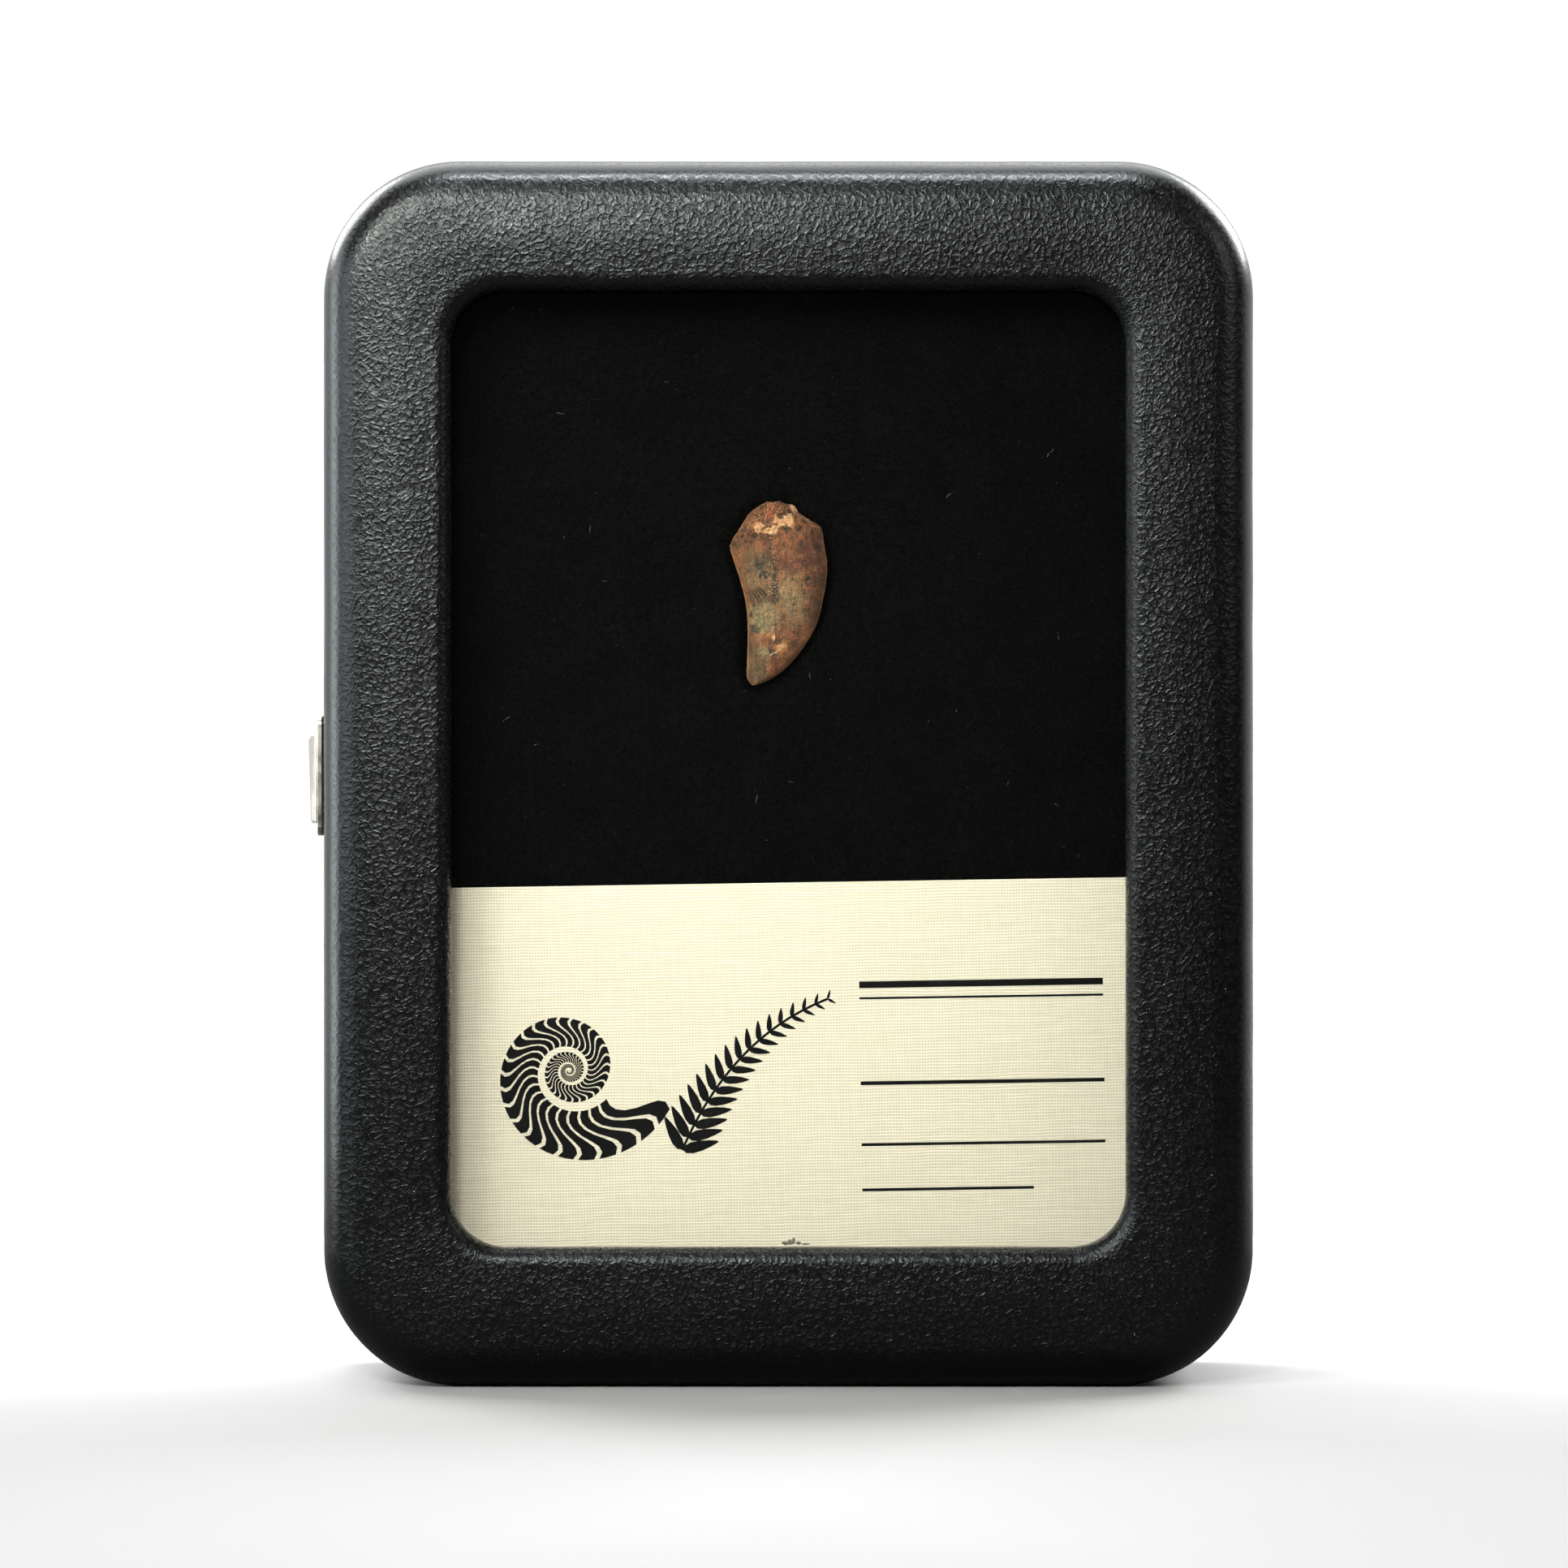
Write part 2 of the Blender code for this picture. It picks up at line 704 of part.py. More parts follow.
def main():
    clear_scene()
    leatherette = make_material("leatherette", (0.018, 0.019, 0.02), 0.5)
    glass = make_material("glass", (0.9, 0.93, 0.92), 0.03, transmission=1.0)
    board = make_material("lining_board", (0.01, 0.01, 0.01), 0.9)
    velvet = make_material("velvet_foam", (0.006, 0.006, 0.006), 0.95)
    enamel = make_material("fossil_enamel", (0.15, 0.07, 0.03), 0.4)
    paper = make_material("label_paper", (0.8, 0.76, 0.62), 0.85)
    nickel = make_material("nickel_plate", (0.72, 0.7, 0.64), 0.25, metallic=1.0)
    steel = make_material("hinge_steel", (0.5, 0.5, 0.48), 0.35, metallic=1.0)

    pivot = add_lid_pivot()
    build_base_shell(leatherette)
    hang_on(
        pivot,
        build_lid_shell(leatherette),
        build_window_glass(glass),
        build_glass_retainer(board),
        *build_clasp_tongue(nickel),
    )
    build_foam_insert(velvet)
    build_tooth(enamel)
    build_label_card(paper)
    build_clasp_keeper(nickel)
    build_hinges(steel, pivot)


main()
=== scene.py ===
# A fossil tooth in its black leatherette display case: the looks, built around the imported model.
# Sizes in the dictionaries are millimetres, angles are degrees and colours are sRGB hex.

import json
import math

import bmesh
import bpy
import numpy as np
from mathutils import Matrix, Vector, noise


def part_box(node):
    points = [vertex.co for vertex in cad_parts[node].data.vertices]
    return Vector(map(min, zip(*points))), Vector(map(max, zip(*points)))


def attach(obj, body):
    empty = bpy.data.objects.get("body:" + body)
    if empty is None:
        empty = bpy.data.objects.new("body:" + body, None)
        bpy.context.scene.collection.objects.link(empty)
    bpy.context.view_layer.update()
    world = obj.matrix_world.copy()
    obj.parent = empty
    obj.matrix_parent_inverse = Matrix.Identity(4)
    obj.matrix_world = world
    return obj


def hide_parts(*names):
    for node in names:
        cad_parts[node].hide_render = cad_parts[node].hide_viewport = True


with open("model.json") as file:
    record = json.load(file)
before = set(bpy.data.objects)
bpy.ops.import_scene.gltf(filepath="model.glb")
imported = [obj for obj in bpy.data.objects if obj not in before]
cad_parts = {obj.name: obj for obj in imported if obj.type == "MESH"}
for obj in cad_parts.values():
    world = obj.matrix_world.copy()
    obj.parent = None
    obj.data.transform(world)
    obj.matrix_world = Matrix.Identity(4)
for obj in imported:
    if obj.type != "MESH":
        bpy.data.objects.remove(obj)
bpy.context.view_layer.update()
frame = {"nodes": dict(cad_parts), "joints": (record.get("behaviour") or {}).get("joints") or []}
mm = 0.001

lidLow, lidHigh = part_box("lid_shell")
baseLow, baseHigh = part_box("base_shell")
foamLow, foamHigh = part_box("foam_insert")
toothLow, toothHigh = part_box("tooth")
cardLow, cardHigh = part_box("label_card")
glassLow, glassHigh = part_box("window_glass")
tongueLow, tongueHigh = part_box("clasp_tongue")
keeperLow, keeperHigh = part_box("clasp_keeper")
caseMiddle = (lidLow + lidHigh) / 2
toothMiddle = (toothLow + toothHigh) / 2
cardMiddle = (cardLow + cardHigh) / 2
hingeAxis = Vector(frame["joints"][0]["pos_m"])
caseWidth = lidHigh.x - lidLow.x
caseHeight = lidHigh.z - lidLow.z
frontY = lidLow.y
lidRimY = lidHigh.y
baseRimY = baseLow.y
backY = baseHigh.y
print("frame loaded: case", round(caseWidth / mm, 1), "x", round(caseHeight / mm, 1), "mm")


# Helpers

def linearColour(hexText):
    channels = [int(hexText[i:i + 2], 16) / 255 for i in (1, 3, 5)]
    return [c / 12.92 if c <= 0.04045 else ((c + 0.055) / 1.055) ** 2.4 for c in channels] + [1.0]


def addNode(tree, kind, inputs=None, **settings):
    # One node with its settings. An input is a plain value, a socket, or a node's first live output.
    node = tree.nodes.new(kind)
    for name, value in settings.items():
        setattr(node, name, value)
    for key, value in (inputs or {}).items():
        socket = node.inputs[key] if isinstance(key, int) else next(
            s for s in node.inputs if s.enabled and s.name == key
        )
        if isinstance(value, bpy.types.Node):
            value = next(s for s in value.outputs if s.enabled)
        if isinstance(value, bpy.types.NodeSocket):
            tree.links.new(value, socket)
        else:
            socket.default_value = value
    return node


def startMaterial(name):
    # A material with its Principled shader, and the place on the object in metres
    material = bpy.data.materials.new(name)
    material.use_nodes = True
    tree = material.node_tree
    shader = tree.nodes["Principled BSDF"]
    place = addNode(tree, "ShaderNodeTexCoord").outputs["Object"]
    return material, tree, shader, place


def startTree(name, sizes):
    # A Geometry Nodes group with a named input for each size
    tree = bpy.data.node_groups.new(name, "GeometryNodeTree")
    tree.interface.new_socket("Geometry", in_out="INPUT", socket_type="NodeSocketGeometry")
    tree.interface.new_socket("Geometry", in_out="OUTPUT", socket_type="NodeSocketGeometry")
    for label, value in sizes.items():
        kind = "NodeSocketInt" if isinstance(value, int) else "NodeSocketFloat"
        if isinstance(value, bpy.types.Material):
            kind = "NodeSocketMaterial"
        tree.interface.new_socket(label, in_out="INPUT", socket_type=kind)
    return tree, addNode(tree, "NodeGroupInput").outputs


def growMesh(name, tree, sizes, start=None):
    # Runs a tree on a mesh with these sizes, and keeps the result as one plain mesh object
    holder = bpy.data.objects.new(name + "_start", start or bpy.data.meshes.new(name + "_start"))
    bpy.context.scene.collection.objects.link(holder)
    modifier = holder.modifiers.new("grow", "NODES")
    modifier.node_group = tree
    for item in tree.interface.items_tree:
        if item.in_out == "INPUT" and item.name in sizes:
            modifier[item.identifier] = sizes[item.name]
    depsgraph = bpy.context.evaluated_depsgraph_get()
    mesh = bpy.data.meshes.new_from_object(holder.evaluated_get(depsgraph))
    bpy.data.objects.remove(holder)
    return addPiece(name, mesh)


def addPiece(name, mesh):
    piece = bpy.data.objects.new(name, mesh)
    mesh.name = name
    bpy.context.scene.collection.objects.link(piece)
    return piece


def applyModifiers(piece):
    # Turns a piece's modifiers into its plain mesh
    depsgraph = bpy.context.evaluated_depsgraph_get()
    mesh = bpy.data.meshes.new_from_object(piece.evaluated_get(depsgraph))
    piece.modifiers.clear()
    piece.data = mesh


def copyNode(name, node):
    # A merged copy of a CAD node's mesh, to refine
    shape = bmesh.new()
    shape.from_mesh(frame["nodes"][node].data)
    bmesh.ops.remove_doubles(shape, verts=shape.verts, dist=1e-6)
    mesh = bpy.data.meshes.new(name)
    shape.to_mesh(mesh)
    shape.free()
    mesh.materials.clear()
    return addPiece(name, mesh)


def turnFacesOut(mesh):
    shape = bmesh.new()
    shape.from_mesh(mesh)
    bmesh.ops.recalc_face_normals(shape, faces=shape.faces)
    shape.to_mesh(mesh)
    shape.free()


def points(mesh):
    found = np.empty(len(mesh.vertices) * 3)
    mesh.vertices.foreach_get("co", found)
    return found.reshape(-1, 3)


def movePoints(mesh, places):
    mesh.vertices.foreach_set("co", np.asarray(places, dtype=np.float32).ravel())
    mesh.update()


def countTriangles(piece):
    return sum(len(face.vertices) - 2 for face in piece.data.polygons)


def smoothStep(low, high, value):
    t = np.clip((value - low) / (high - low), 0, 1)
    return t * t * (3 - 2 * t)


# Materials

leatherLook = {
    "colour": "#080808",
    "worn": "#0d0d0d",
    "sheen": "#eef6f6",
    "cell": 0.68,  # the embossed grain's cells
    "small": 0.4,
    "fold": 0.55,
    "fine": 0.16,
    "relief": 0.026,
    "roughness": 0.27,
}


def embossedLeatherette():
    # Vinyl-coated cloth embossed with a calf grain: black, with a cold gloss along every tiny fold.
    material, tree, shader, place = startMaterial("embossedLeatherette")
    look = leatherLook
    grain = addNode(tree, "ShaderNodeAttribute", attribute_name="grainPlace").outputs["Vector"]
    shows = addNode(tree, "ShaderNodeAttribute", attribute_name="grainShows").outputs["Fac"]
    sway = addNode(tree, "ShaderNodeTexNoise", {"Vector": grain, "Scale": 1 / (0.9 * mm), "Detail": 2.0})
    bent = addNode(tree, "ShaderNodeVectorMath", {0: sway.outputs["Color"], 1: (0.0006, 0.0006, 0.0006), 2: grain}, operation="MULTIPLY_ADD")
    height = addNode(tree, "ShaderNodeTexNoise", {"Vector": grain, "Scale": 1 / (look["fine"] * mm), "Detail": 3.0, "Roughness": 0.6})
    height = addNode(tree, "ShaderNodeMath", {0: height, 1: 0.1}, operation="MULTIPLY")
    for size, width, weight in ((look["cell"], 0.3, 0.75), (look["small"], 0.34, 0.12)):
        cells = addNode(tree, "ShaderNodeTexVoronoi", {"Vector": bent, "Scale": 1 / (size * mm)}, feature="DISTANCE_TO_EDGE")
        ridge = addNode(tree, "ShaderNodeMapRange", {"Value": cells.outputs["Distance"], "From Min": width, "From Max": 0.0, "To Max": weight}, interpolation_type="SMOOTHSTEP")
        height = addNode(tree, "ShaderNodeMath", {0: height, 1: ridge}, operation="ADD")
    folds = addNode(tree, "ShaderNodeTexNoise", {"Vector": bent, "Scale": 1 / (look["fold"] * mm), "Detail": 2.0, "Distortion": 0.6})
    middle = addNode(tree, "ShaderNodeMath", {0: folds, 1: 0.5}, operation="SUBTRACT")
    apart = addNode(tree, "ShaderNodeMath", {0: middle}, operation="ABSOLUTE")
    crest = addNode(tree, "ShaderNodeMapRange", {"Value": apart, "From Min": 0.1, "From Max": 0.0, "To Max": 0.4}, interpolation_type="SMOOTHSTEP")
    height = addNode(tree, "ShaderNodeMath", {0: height, 1: crest}, operation="ADD")
    bump = addNode(tree, "ShaderNodeBump", {"Height": height, "Strength": shows, "Distance": look["relief"] * mm})
    patchy = addNode(tree, "ShaderNodeTexNoise", {"Vector": place, "Scale": 1 / (9 * mm), "Detail": 3.0})
    worn = addNode(tree, "ShaderNodeMapRange", {"Value": patchy, "From Min": 0.35, "From Max": 0.8, "To Max": 0.7})
    colour = addNode(tree, "ShaderNodeMix", {"Factor": worn, "A": linearColour(look["colour"]), "B": linearColour(look["worn"])}, data_type="RGBA")
    gloss = addNode(tree, "ShaderNodeMapRange", {"Value": height, "From Min": 0.2, "From Max": 1.3, "To Min": look["roughness"] + 0.1, "To Max": look["roughness"] - 0.05})
    tree.links.new(colour.outputs[2], shader.inputs["Base Color"])
    tree.links.new(gloss.outputs[0], shader.inputs["Roughness"])
    tree.links.new(bump.outputs[0], shader.inputs["Normal"])
    shader.inputs["Specular Tint"].default_value = linearColour(look["sheen"])
    return material


def blackLiningPaper():
    # Matt black bookbinding paper: fibres of the sheet show as a fine, soft mottle.
    material, tree, shader, place = startMaterial("blackLiningPaper")
    fibres = addNode(tree, "ShaderNodeTexNoise", {"Vector": place, "Scale": 1 / (0.4 * mm), "Detail": 5.0})
    bump = addNode(tree, "ShaderNodeBump", {"Height": fibres, "Distance": 0.02 * mm})
    colour = addNode(tree, "ShaderNodeMix", {"Factor": fibres, "A": linearColour("#0b0b0b"), "B": linearColour("#1c1c1b")}, data_type="RGBA")
    tree.links.new(colour.outputs[2], shader.inputs["Base Color"])
    tree.links.new(bump.outputs[0], shader.inputs["Normal"])
    shader.inputs["Roughness"].default_value = 0.85
    return material


def cottonVelvet():
    # Black cotton velvet: it drinks the light. A faint grey sheen where the pile leans is painted into the colour as
    # random paler patches, beside the shader's weak even sheen.
    material, tree, shader, place = startMaterial("cottonVelvet")
    lean = addNode(tree, "ShaderNodeTexNoise", {"Vector": place, "Scale": 1 / (3.5 * mm), "Detail": 4.0})
    pile = addNode(tree, "ShaderNodeTexNoise", {"Vector": place, "Scale": 1 / (0.25 * mm), "Detail": 2.0})
    bump = addNode(tree, "ShaderNodeBump", {"Height": pile, "Distance": 0.05 * mm})
    # painted sheen: the colour is a shade paler in the patches where the pile is taken to lean
    colour = addNode(tree, "ShaderNodeMix", {"Factor": lean, "A": linearColour("#020202"), "B": linearColour("#060606")}, data_type="RGBA")
    tree.links.new(colour.outputs[2], shader.inputs["Base Color"])
    tree.links.new(bump.outputs[0], shader.inputs["Normal"])
    shader.inputs["Roughness"].default_value = 0.95
    shader.inputs["Specular IOR Level"].default_value = 0.06
    shader.inputs["Sheen Weight"].default_value = 0.008
    shader.inputs["Sheen Roughness"].default_value = 0.4
    return material


def floatGlass():
    # Clear picture glass with wiped-on smears that show only where light grazes them.
    material, tree, shader, place = startMaterial("floatGlass")
    smear = addNode(tree, "ShaderNodeTexNoise", {"Vector": place, "Scale": 1 / (14 * mm), "Detail": 3.0})
    haze = addNode(tree, "ShaderNodeMapRange", {"Value": smear, "From Min": 0.45, "From Max": 0.8, "To Min": 0.0, "To Max": 0.02})
    tree.links.new(haze.outputs[0], shader.inputs["Roughness"])
    shader.inputs["Base Color"].default_value = linearColour("#fbfdfc")
    shader.inputs["Transmission Weight"].default_value = 1.0
    shader.inputs["IOR"].default_value = 1.5
    lamps = addNode(tree, "ShaderNodeLightPath").outputs["Is Shadow Ray"]
    clear = addNode(tree, "ShaderNodeBsdfTransparent", {"Color": linearColour("#f6f9f7")})
    through = addNode(tree, "ShaderNodeMixShader", {0: lamps, 1: shader, 2: clear})
    tree.links.new(through.outputs[0], tree.nodes["Material Output"].inputs["Surface"])
    return material


def linenCard():
    # Cream card calendered between linen: fine crossed threads catch the light in the bump, and their raised crests are
    # painted paler as a painted highlight.
    material, tree, shader, place = startMaterial("linenCard")
    flat = addNode(tree, "ShaderNodeMapping", {"Vector": place, "Rotation": (0, math.radians(0.9), 0)})
    wander = addNode(tree, "ShaderNodeTexNoise", {"Vector": flat, "Scale": 1 / (5 * mm), "Detail": 2.0})
    swayed = addNode(tree, "ShaderNodeVectorMath", {0: wander.outputs["Color"], 1: (0.0003, 0.0003, 0.0003), 2: flat}, operation="MULTIPLY_ADD")
    height = None
    for axis, stretch, weight in (("Z", (0.06, 1.0, 1.0), 1.0), ("X", (1.0, 1.0, 0.1), 0.45)):
        drawn = addNode(tree, "ShaderNodeVectorMath", {0: swayed, 1: stretch}, operation="MULTIPLY")
        broken = addNode(tree, "ShaderNodeTexNoise", {"Vector": drawn, "Scale": 1 / (0.35 * mm), "Detail": 3.0})
        wave = addNode(tree, "ShaderNodeTexWave", {"Vector": swayed, "Scale": 0.314 / (0.26 * mm)}, bands_direction=axis)
        thread = addNode(tree, "ShaderNodeMath", {0: wave.outputs["Fac"], 1: broken}, operation="MULTIPLY")
        weighed = {0: thread, 1: weight, 2: height if height else 0.0}
        height = addNode(tree, "ShaderNodeMath", weighed, operation="MULTIPLY_ADD")
    bump = addNode(tree, "ShaderNodeBump", {"Height": height, "Distance": 0.035 * mm})
    # painted highlight: the higher a thread stands, the paler its colour
    paintedThreadHighlight = addNode(tree, "ShaderNodeMapRange", {"Value": height, "From Min": 0.12, "From Max": 0.75})
    colour = addNode(tree, "ShaderNodeMix", {"Factor": paintedThreadHighlight, "A": linearColour("#d6cab2"), "B": linearColour("#ece2d1")}, data_type="RGBA")
    tree.links.new(colour.outputs[2], shader.inputs["Base Color"])
    tree.links.new(bump.outputs[0], shader.inputs["Normal"])
    shader.inputs["Roughness"].default_value = 0.8
    return material


def pressInk():
    # Black letterpress ink: nearly opaque, slightly uneven where it sinks into the card.
    material, tree, shader, place = startMaterial("pressInk")
    salty = addNode(tree, "ShaderNodeTexNoise", {"Vector": place, "Scale": 1 / (0.35 * mm), "Detail": 4.0})
    thin = addNode(tree, "ShaderNodeMapRange", {"Value": salty, "From Min": 0.55, "From Max": 0.85})
    colour = addNode(tree, "ShaderNodeMix", {"Factor": thin, "A": linearColour("#050505"), "B": linearColour("#191714")}, data_type="RGBA")
    tree.links.new(colour.outputs[2], shader.inputs["Base Color"])
    shader.inputs["Roughness"].default_value = 0.8
    shader.inputs["Specular IOR Level"].default_value = 0.15
    return material


def nickelPlate():
    # Bright nickel on stamped brass: warm silver, with fine rub marks and a dull film in places.
    material, tree, shader, place = startMaterial("nickelPlate")
    drawn = addNode(tree, "ShaderNodeVectorMath", {0: place, 1: (1.0, 1.0, 0.06)}, operation="MULTIPLY")
    rubs = addNode(tree, "ShaderNodeTexNoise", {"Vector": drawn, "Scale": 1 / (0.12 * mm), "Detail": 4.0})
    film = addNode(tree, "ShaderNodeTexNoise", {"Vector": place, "Scale": 1 / (1.8 * mm), "Detail": 4.0})
    colour = addNode(tree, "ShaderNodeMix", {"Factor": film, "A": linearColour("#dedbd0"), "B": linearColour("#b9b5a8")}, data_type="RGBA")
    dull = addNode(tree, "ShaderNodeMapRange", {"Value": film, "From Min": 0.3, "From Max": 0.7, "To Min": 0.2, "To Max": 0.38})
    bump = addNode(tree, "ShaderNodeBump", {"Height": rubs, "Distance": 0.006 * mm})
    tree.links.new(colour.outputs[2], shader.inputs["Base Color"])
    tree.links.new(dull.outputs[0], shader.inputs["Roughness"])
    tree.links.new(bump.outputs[0], shader.inputs["Normal"])
    shader.inputs["Metallic"].default_value = 1.0
    return material


def rolledSteel():
    # Cold-rolled hinge strip: greyer than the clasp, with the roll's lines along it.
    material, tree, shader, place = startMaterial("rolledSteel")
    drawn = addNode(tree, "ShaderNodeVectorMath", {0: place, 1: (1.0, 1.0, 0.08)}, operation="MULTIPLY")
    lines = addNode(tree, "ShaderNodeTexNoise", {"Vector": drawn, "Scale": 1 / (0.1 * mm), "Detail": 3.0})
    bump = addNode(tree, "ShaderNodeBump", {"Height": lines, "Distance": 0.01 * mm})
    colour = addNode(tree, "ShaderNodeMix", {"Factor": lines, "A": linearColour("#8b8a86"), "B": linearColour("#c3c1bb")}, data_type="RGBA")
    tree.links.new(colour.outputs[2], shader.inputs["Base Color"])
    tree.links.new(bump.outputs[0], shader.inputs["Normal"])
    shader.inputs["Roughness"].default_value = 0.36
    shader.inputs["Metallic"].default_value = 1.0
    return material


def houseDust():
    # Pale lint and dust: bright specks against all the black.
    material, tree, shader, place = startMaterial("houseDust")
    mixed = addNode(tree, "ShaderNodeTexNoise", {"Vector": place, "Scale": 1 / (2 * mm)})
    colour = addNode(tree, "ShaderNodeMix", {"Factor": mixed, "A": linearColour("#8e8b84"), "B": linearColour("#d6d3ca")}, data_type="RGBA")
    tree.links.new(colour.outputs[2], shader.inputs["Base Color"])
    shader.inputs["Roughness"].default_value = 0.9
    return material


leatherette = embossedLeatherette()
lining = blackLiningPaper()
velvet = cottonVelvet()
nickel = nickelPlate()
steel = rolledSteel()
dust = houseDust()
print("materials for the case made")


# Case

def sectionMesh(name, strips):
    # A section as corner points (inset, y, fillet). Each strip has its own step and finish.
    mesh = bpy.data.meshes.new(name)
    places, edges, fillets, steps, finishes = [], [], [], [], []
    for strip in strips:
        first = len(places)
        for inset, y, fillet in strip["corners"]:
            places.append((inset, y, 0))
            fillets.append(fillet)
            steps.append(strip["step"])
            finishes.append(strip["finish"])
        edges += [(i, i + 1) for i in range(first, len(places) - 1)]
    mesh.from_pydata(places, edges, [])
    for label, values in (("fillet", fillets), ("step", steps), ("finish", finishes)):
        mesh.attributes.new(label, "FLOAT", "POINT").data.foreach_set("value", values)
    return mesh


def wrapTree():
    # Sweeps a section around the case's rounded outline, and lets its corners tighten inwards.
    sizes = {
        "Width": 0.0, "Height": 0.0, "Middle X": 0.0, "Middle Z": 0.0, "Corner Radius": 0.0,
        "Path Step": 0.0, "Even Inset": 0.0, "Inner Inset": 0.0, "Inner Radius": 0.0,
        "Trim": 0.0, "Rise": 0.0, "Front": 0.0, "Taut Width": 0.0, "Taut Share": 0.0, "Wave Height": 0.0,
        "Outside": leatherette, "Inside": lining,
    }
    tree, given = startTree("wrapSection", sizes)
    field = {"data_type": "FLOAT"}
    outline = addNode(tree, "GeometryNodeCurvePrimitiveQuadrilateral", {"Width": given["Width"], "Height": given["Height"]})
    rounded = addNode(tree, "GeometryNodeFilletCurve", {"Curve": outline, "Count": 24, "Radius": given["Corner Radius"]}, mode="POLY")
    path = addNode(tree, "GeometryNodeResampleCurve", {"Curve": rounded, "Length": given["Path Step"]}, mode="LENGTH")
    here = addNode(tree, "GeometryNodeInputPosition")
    onPath = addNode(tree, "GeometryNodeCaptureAttribute", {"Geometry": path})
    onPath.capture_items.new("VECTOR", "Place")
    tree.links.new(here.outputs[0], onPath.inputs["Place"])
    fillet = addNode(tree, "GeometryNodeInputNamedAttribute", {"Name": "fillet"}, **field)
    step = addNode(tree, "GeometryNodeInputNamedAttribute", {"Name": "step"}, **field)
    corners = addNode(tree, "GeometryNodeMeshToCurve", {"Mesh": given["Geometry"]})
    eased = addNode(tree, "GeometryNodeFilletCurve", {"Curve": corners, "Count": 10, "Radius": fillet, "Limit Radius": True}, mode="POLY")
    section = addNode(tree, "GeometryNodeResampleCurve", {"Curve": eased, "Length": step}, mode="LENGTH")
    onSection = addNode(tree, "GeometryNodeCaptureAttribute", {"Geometry": section})
    onSection.capture_items.new("VECTOR", "Place")
    tree.links.new(here.outputs[0], onSection.inputs["Place"])
    swept = addNode(tree, "GeometryNodeCurveToMesh", {"Curve": onPath.outputs["Geometry"], "Profile Curve": onSection.outputs["Geometry"]})
    insetAndY = addNode(tree, "ShaderNodeSeparateXYZ", {0: onSection.outputs["Place"]})
    inset, depth = insetAndY.outputs[0], insetAndY.outputs[1]
    # How far in a ring lies, and the radius of its corners
    evenPart = addNode(tree, "ShaderNodeMath", {0: inset, 1: given["Even Inset"]}, operation="MINIMUM")
    evenRadius = addNode(tree, "ShaderNodeMath", {0: given["Corner Radius"], 1: evenPart}, operation="SUBTRACT")
    share = addNode(tree, "ShaderNodeMapRange", {"Value": inset, "From Min": given["Even Inset"], "From Max": given["Inner Inset"]})
    radius = addNode(tree, "ShaderNodeMix", {"Factor": share, "A": evenRadius, "B": given["Inner Radius"]}, data_type="FLOAT")
    # The nearest corner centre, and the way from it out to the path
    halfWidth = addNode(tree, "ShaderNodeMath", {0: given["Width"], 1: 0.5}, operation="MULTIPLY")
    halfHeight = addNode(tree, "ShaderNodeMath", {0: given["Height"], 1: 0.5}, operation="MULTIPLY")
    half = addNode(tree, "ShaderNodeCombineXYZ", {"X": halfWidth, "Y": halfHeight, "Z": 1.0})
    core = addNode(tree, "ShaderNodeVectorMath", {0: half, 1: given["Corner Radius"]}, operation="SUBTRACT")
    below = addNode(tree, "ShaderNodeVectorMath", {0: core, 1: (-1.0, -1.0, -1.0)}, operation="MULTIPLY")
    capped = addNode(tree, "ShaderNodeVectorMath", {0: onPath.outputs["Place"], 1: core}, operation="MINIMUM")
    centre = addNode(tree, "ShaderNodeVectorMath", {0: capped, 1: below}, operation="MAXIMUM")
    away = addNode(tree, "ShaderNodeVectorMath", {0: onPath.outputs["Place"], 1: centre}, operation="SUBTRACT")
    outwards = addNode(tree, "ShaderNodeVectorMath", {0: away}, operation="NORMALIZE")
    scaled = addNode(tree, "ShaderNodeVectorMath", {0: centre, 1: core}, operation="DIVIDE")
    # The ring's own corner centres, with the window's trim and rise
    taken = addNode(tree, "ShaderNodeMath", {0: inset, 1: radius}, operation="ADD")
    trimmed = addNode(tree, "ShaderNodeMath", {0: given["Trim"], 1: share, 2: taken}, operation="MULTIPLY_ADD")
    takenBoth = addNode(tree, "ShaderNodeCombineXYZ", {"X": taken, "Y": trimmed, "Z": 0.0})
    ringCore = addNode(tree, "ShaderNodeVectorMath", {0: half, 1: takenBoth}, operation="SUBTRACT")
    ringCentre = addNode(tree, "ShaderNodeVectorMath", {0: scaled, 1: ringCore}, operation="MULTIPLY")
    reach = addNode(tree, "ShaderNodeVectorMath", {0: outwards, "Scale": radius}, operation="SCALE")
    onRing = addNode(tree, "ShaderNodeVectorMath", {0: ringCentre, 1: reach}, operation="ADD")
    ringPlace = addNode(tree, "ShaderNodeSeparateXYZ", {0: onRing})
    lifted = addNode(tree, "ShaderNodeMath", {0: given["Rise"], 1: share, 2: ringPlace.outputs[1]}, operation="MULTIPLY_ADD")
    x = addNode(tree, "ShaderNodeMath", {0: ringPlace.outputs[0], 1: given["Middle X"]}, operation="ADD")
    z = addNode(tree, "ShaderNodeMath", {0: lifted, 1: given["Middle Z"]}, operation="ADD")
    place = addNode(tree, "ShaderNodeCombineXYZ", {"X": x, "Y": depth, "Z": z})
    shaped = addNode(tree, "GeometryNodeSetPosition", {"Geometry": swept, "Position": place})
    welded = addNode(tree, "GeometryNodeMergeByDistance", {"Geometry": shaped, "Distance": 0.00001})
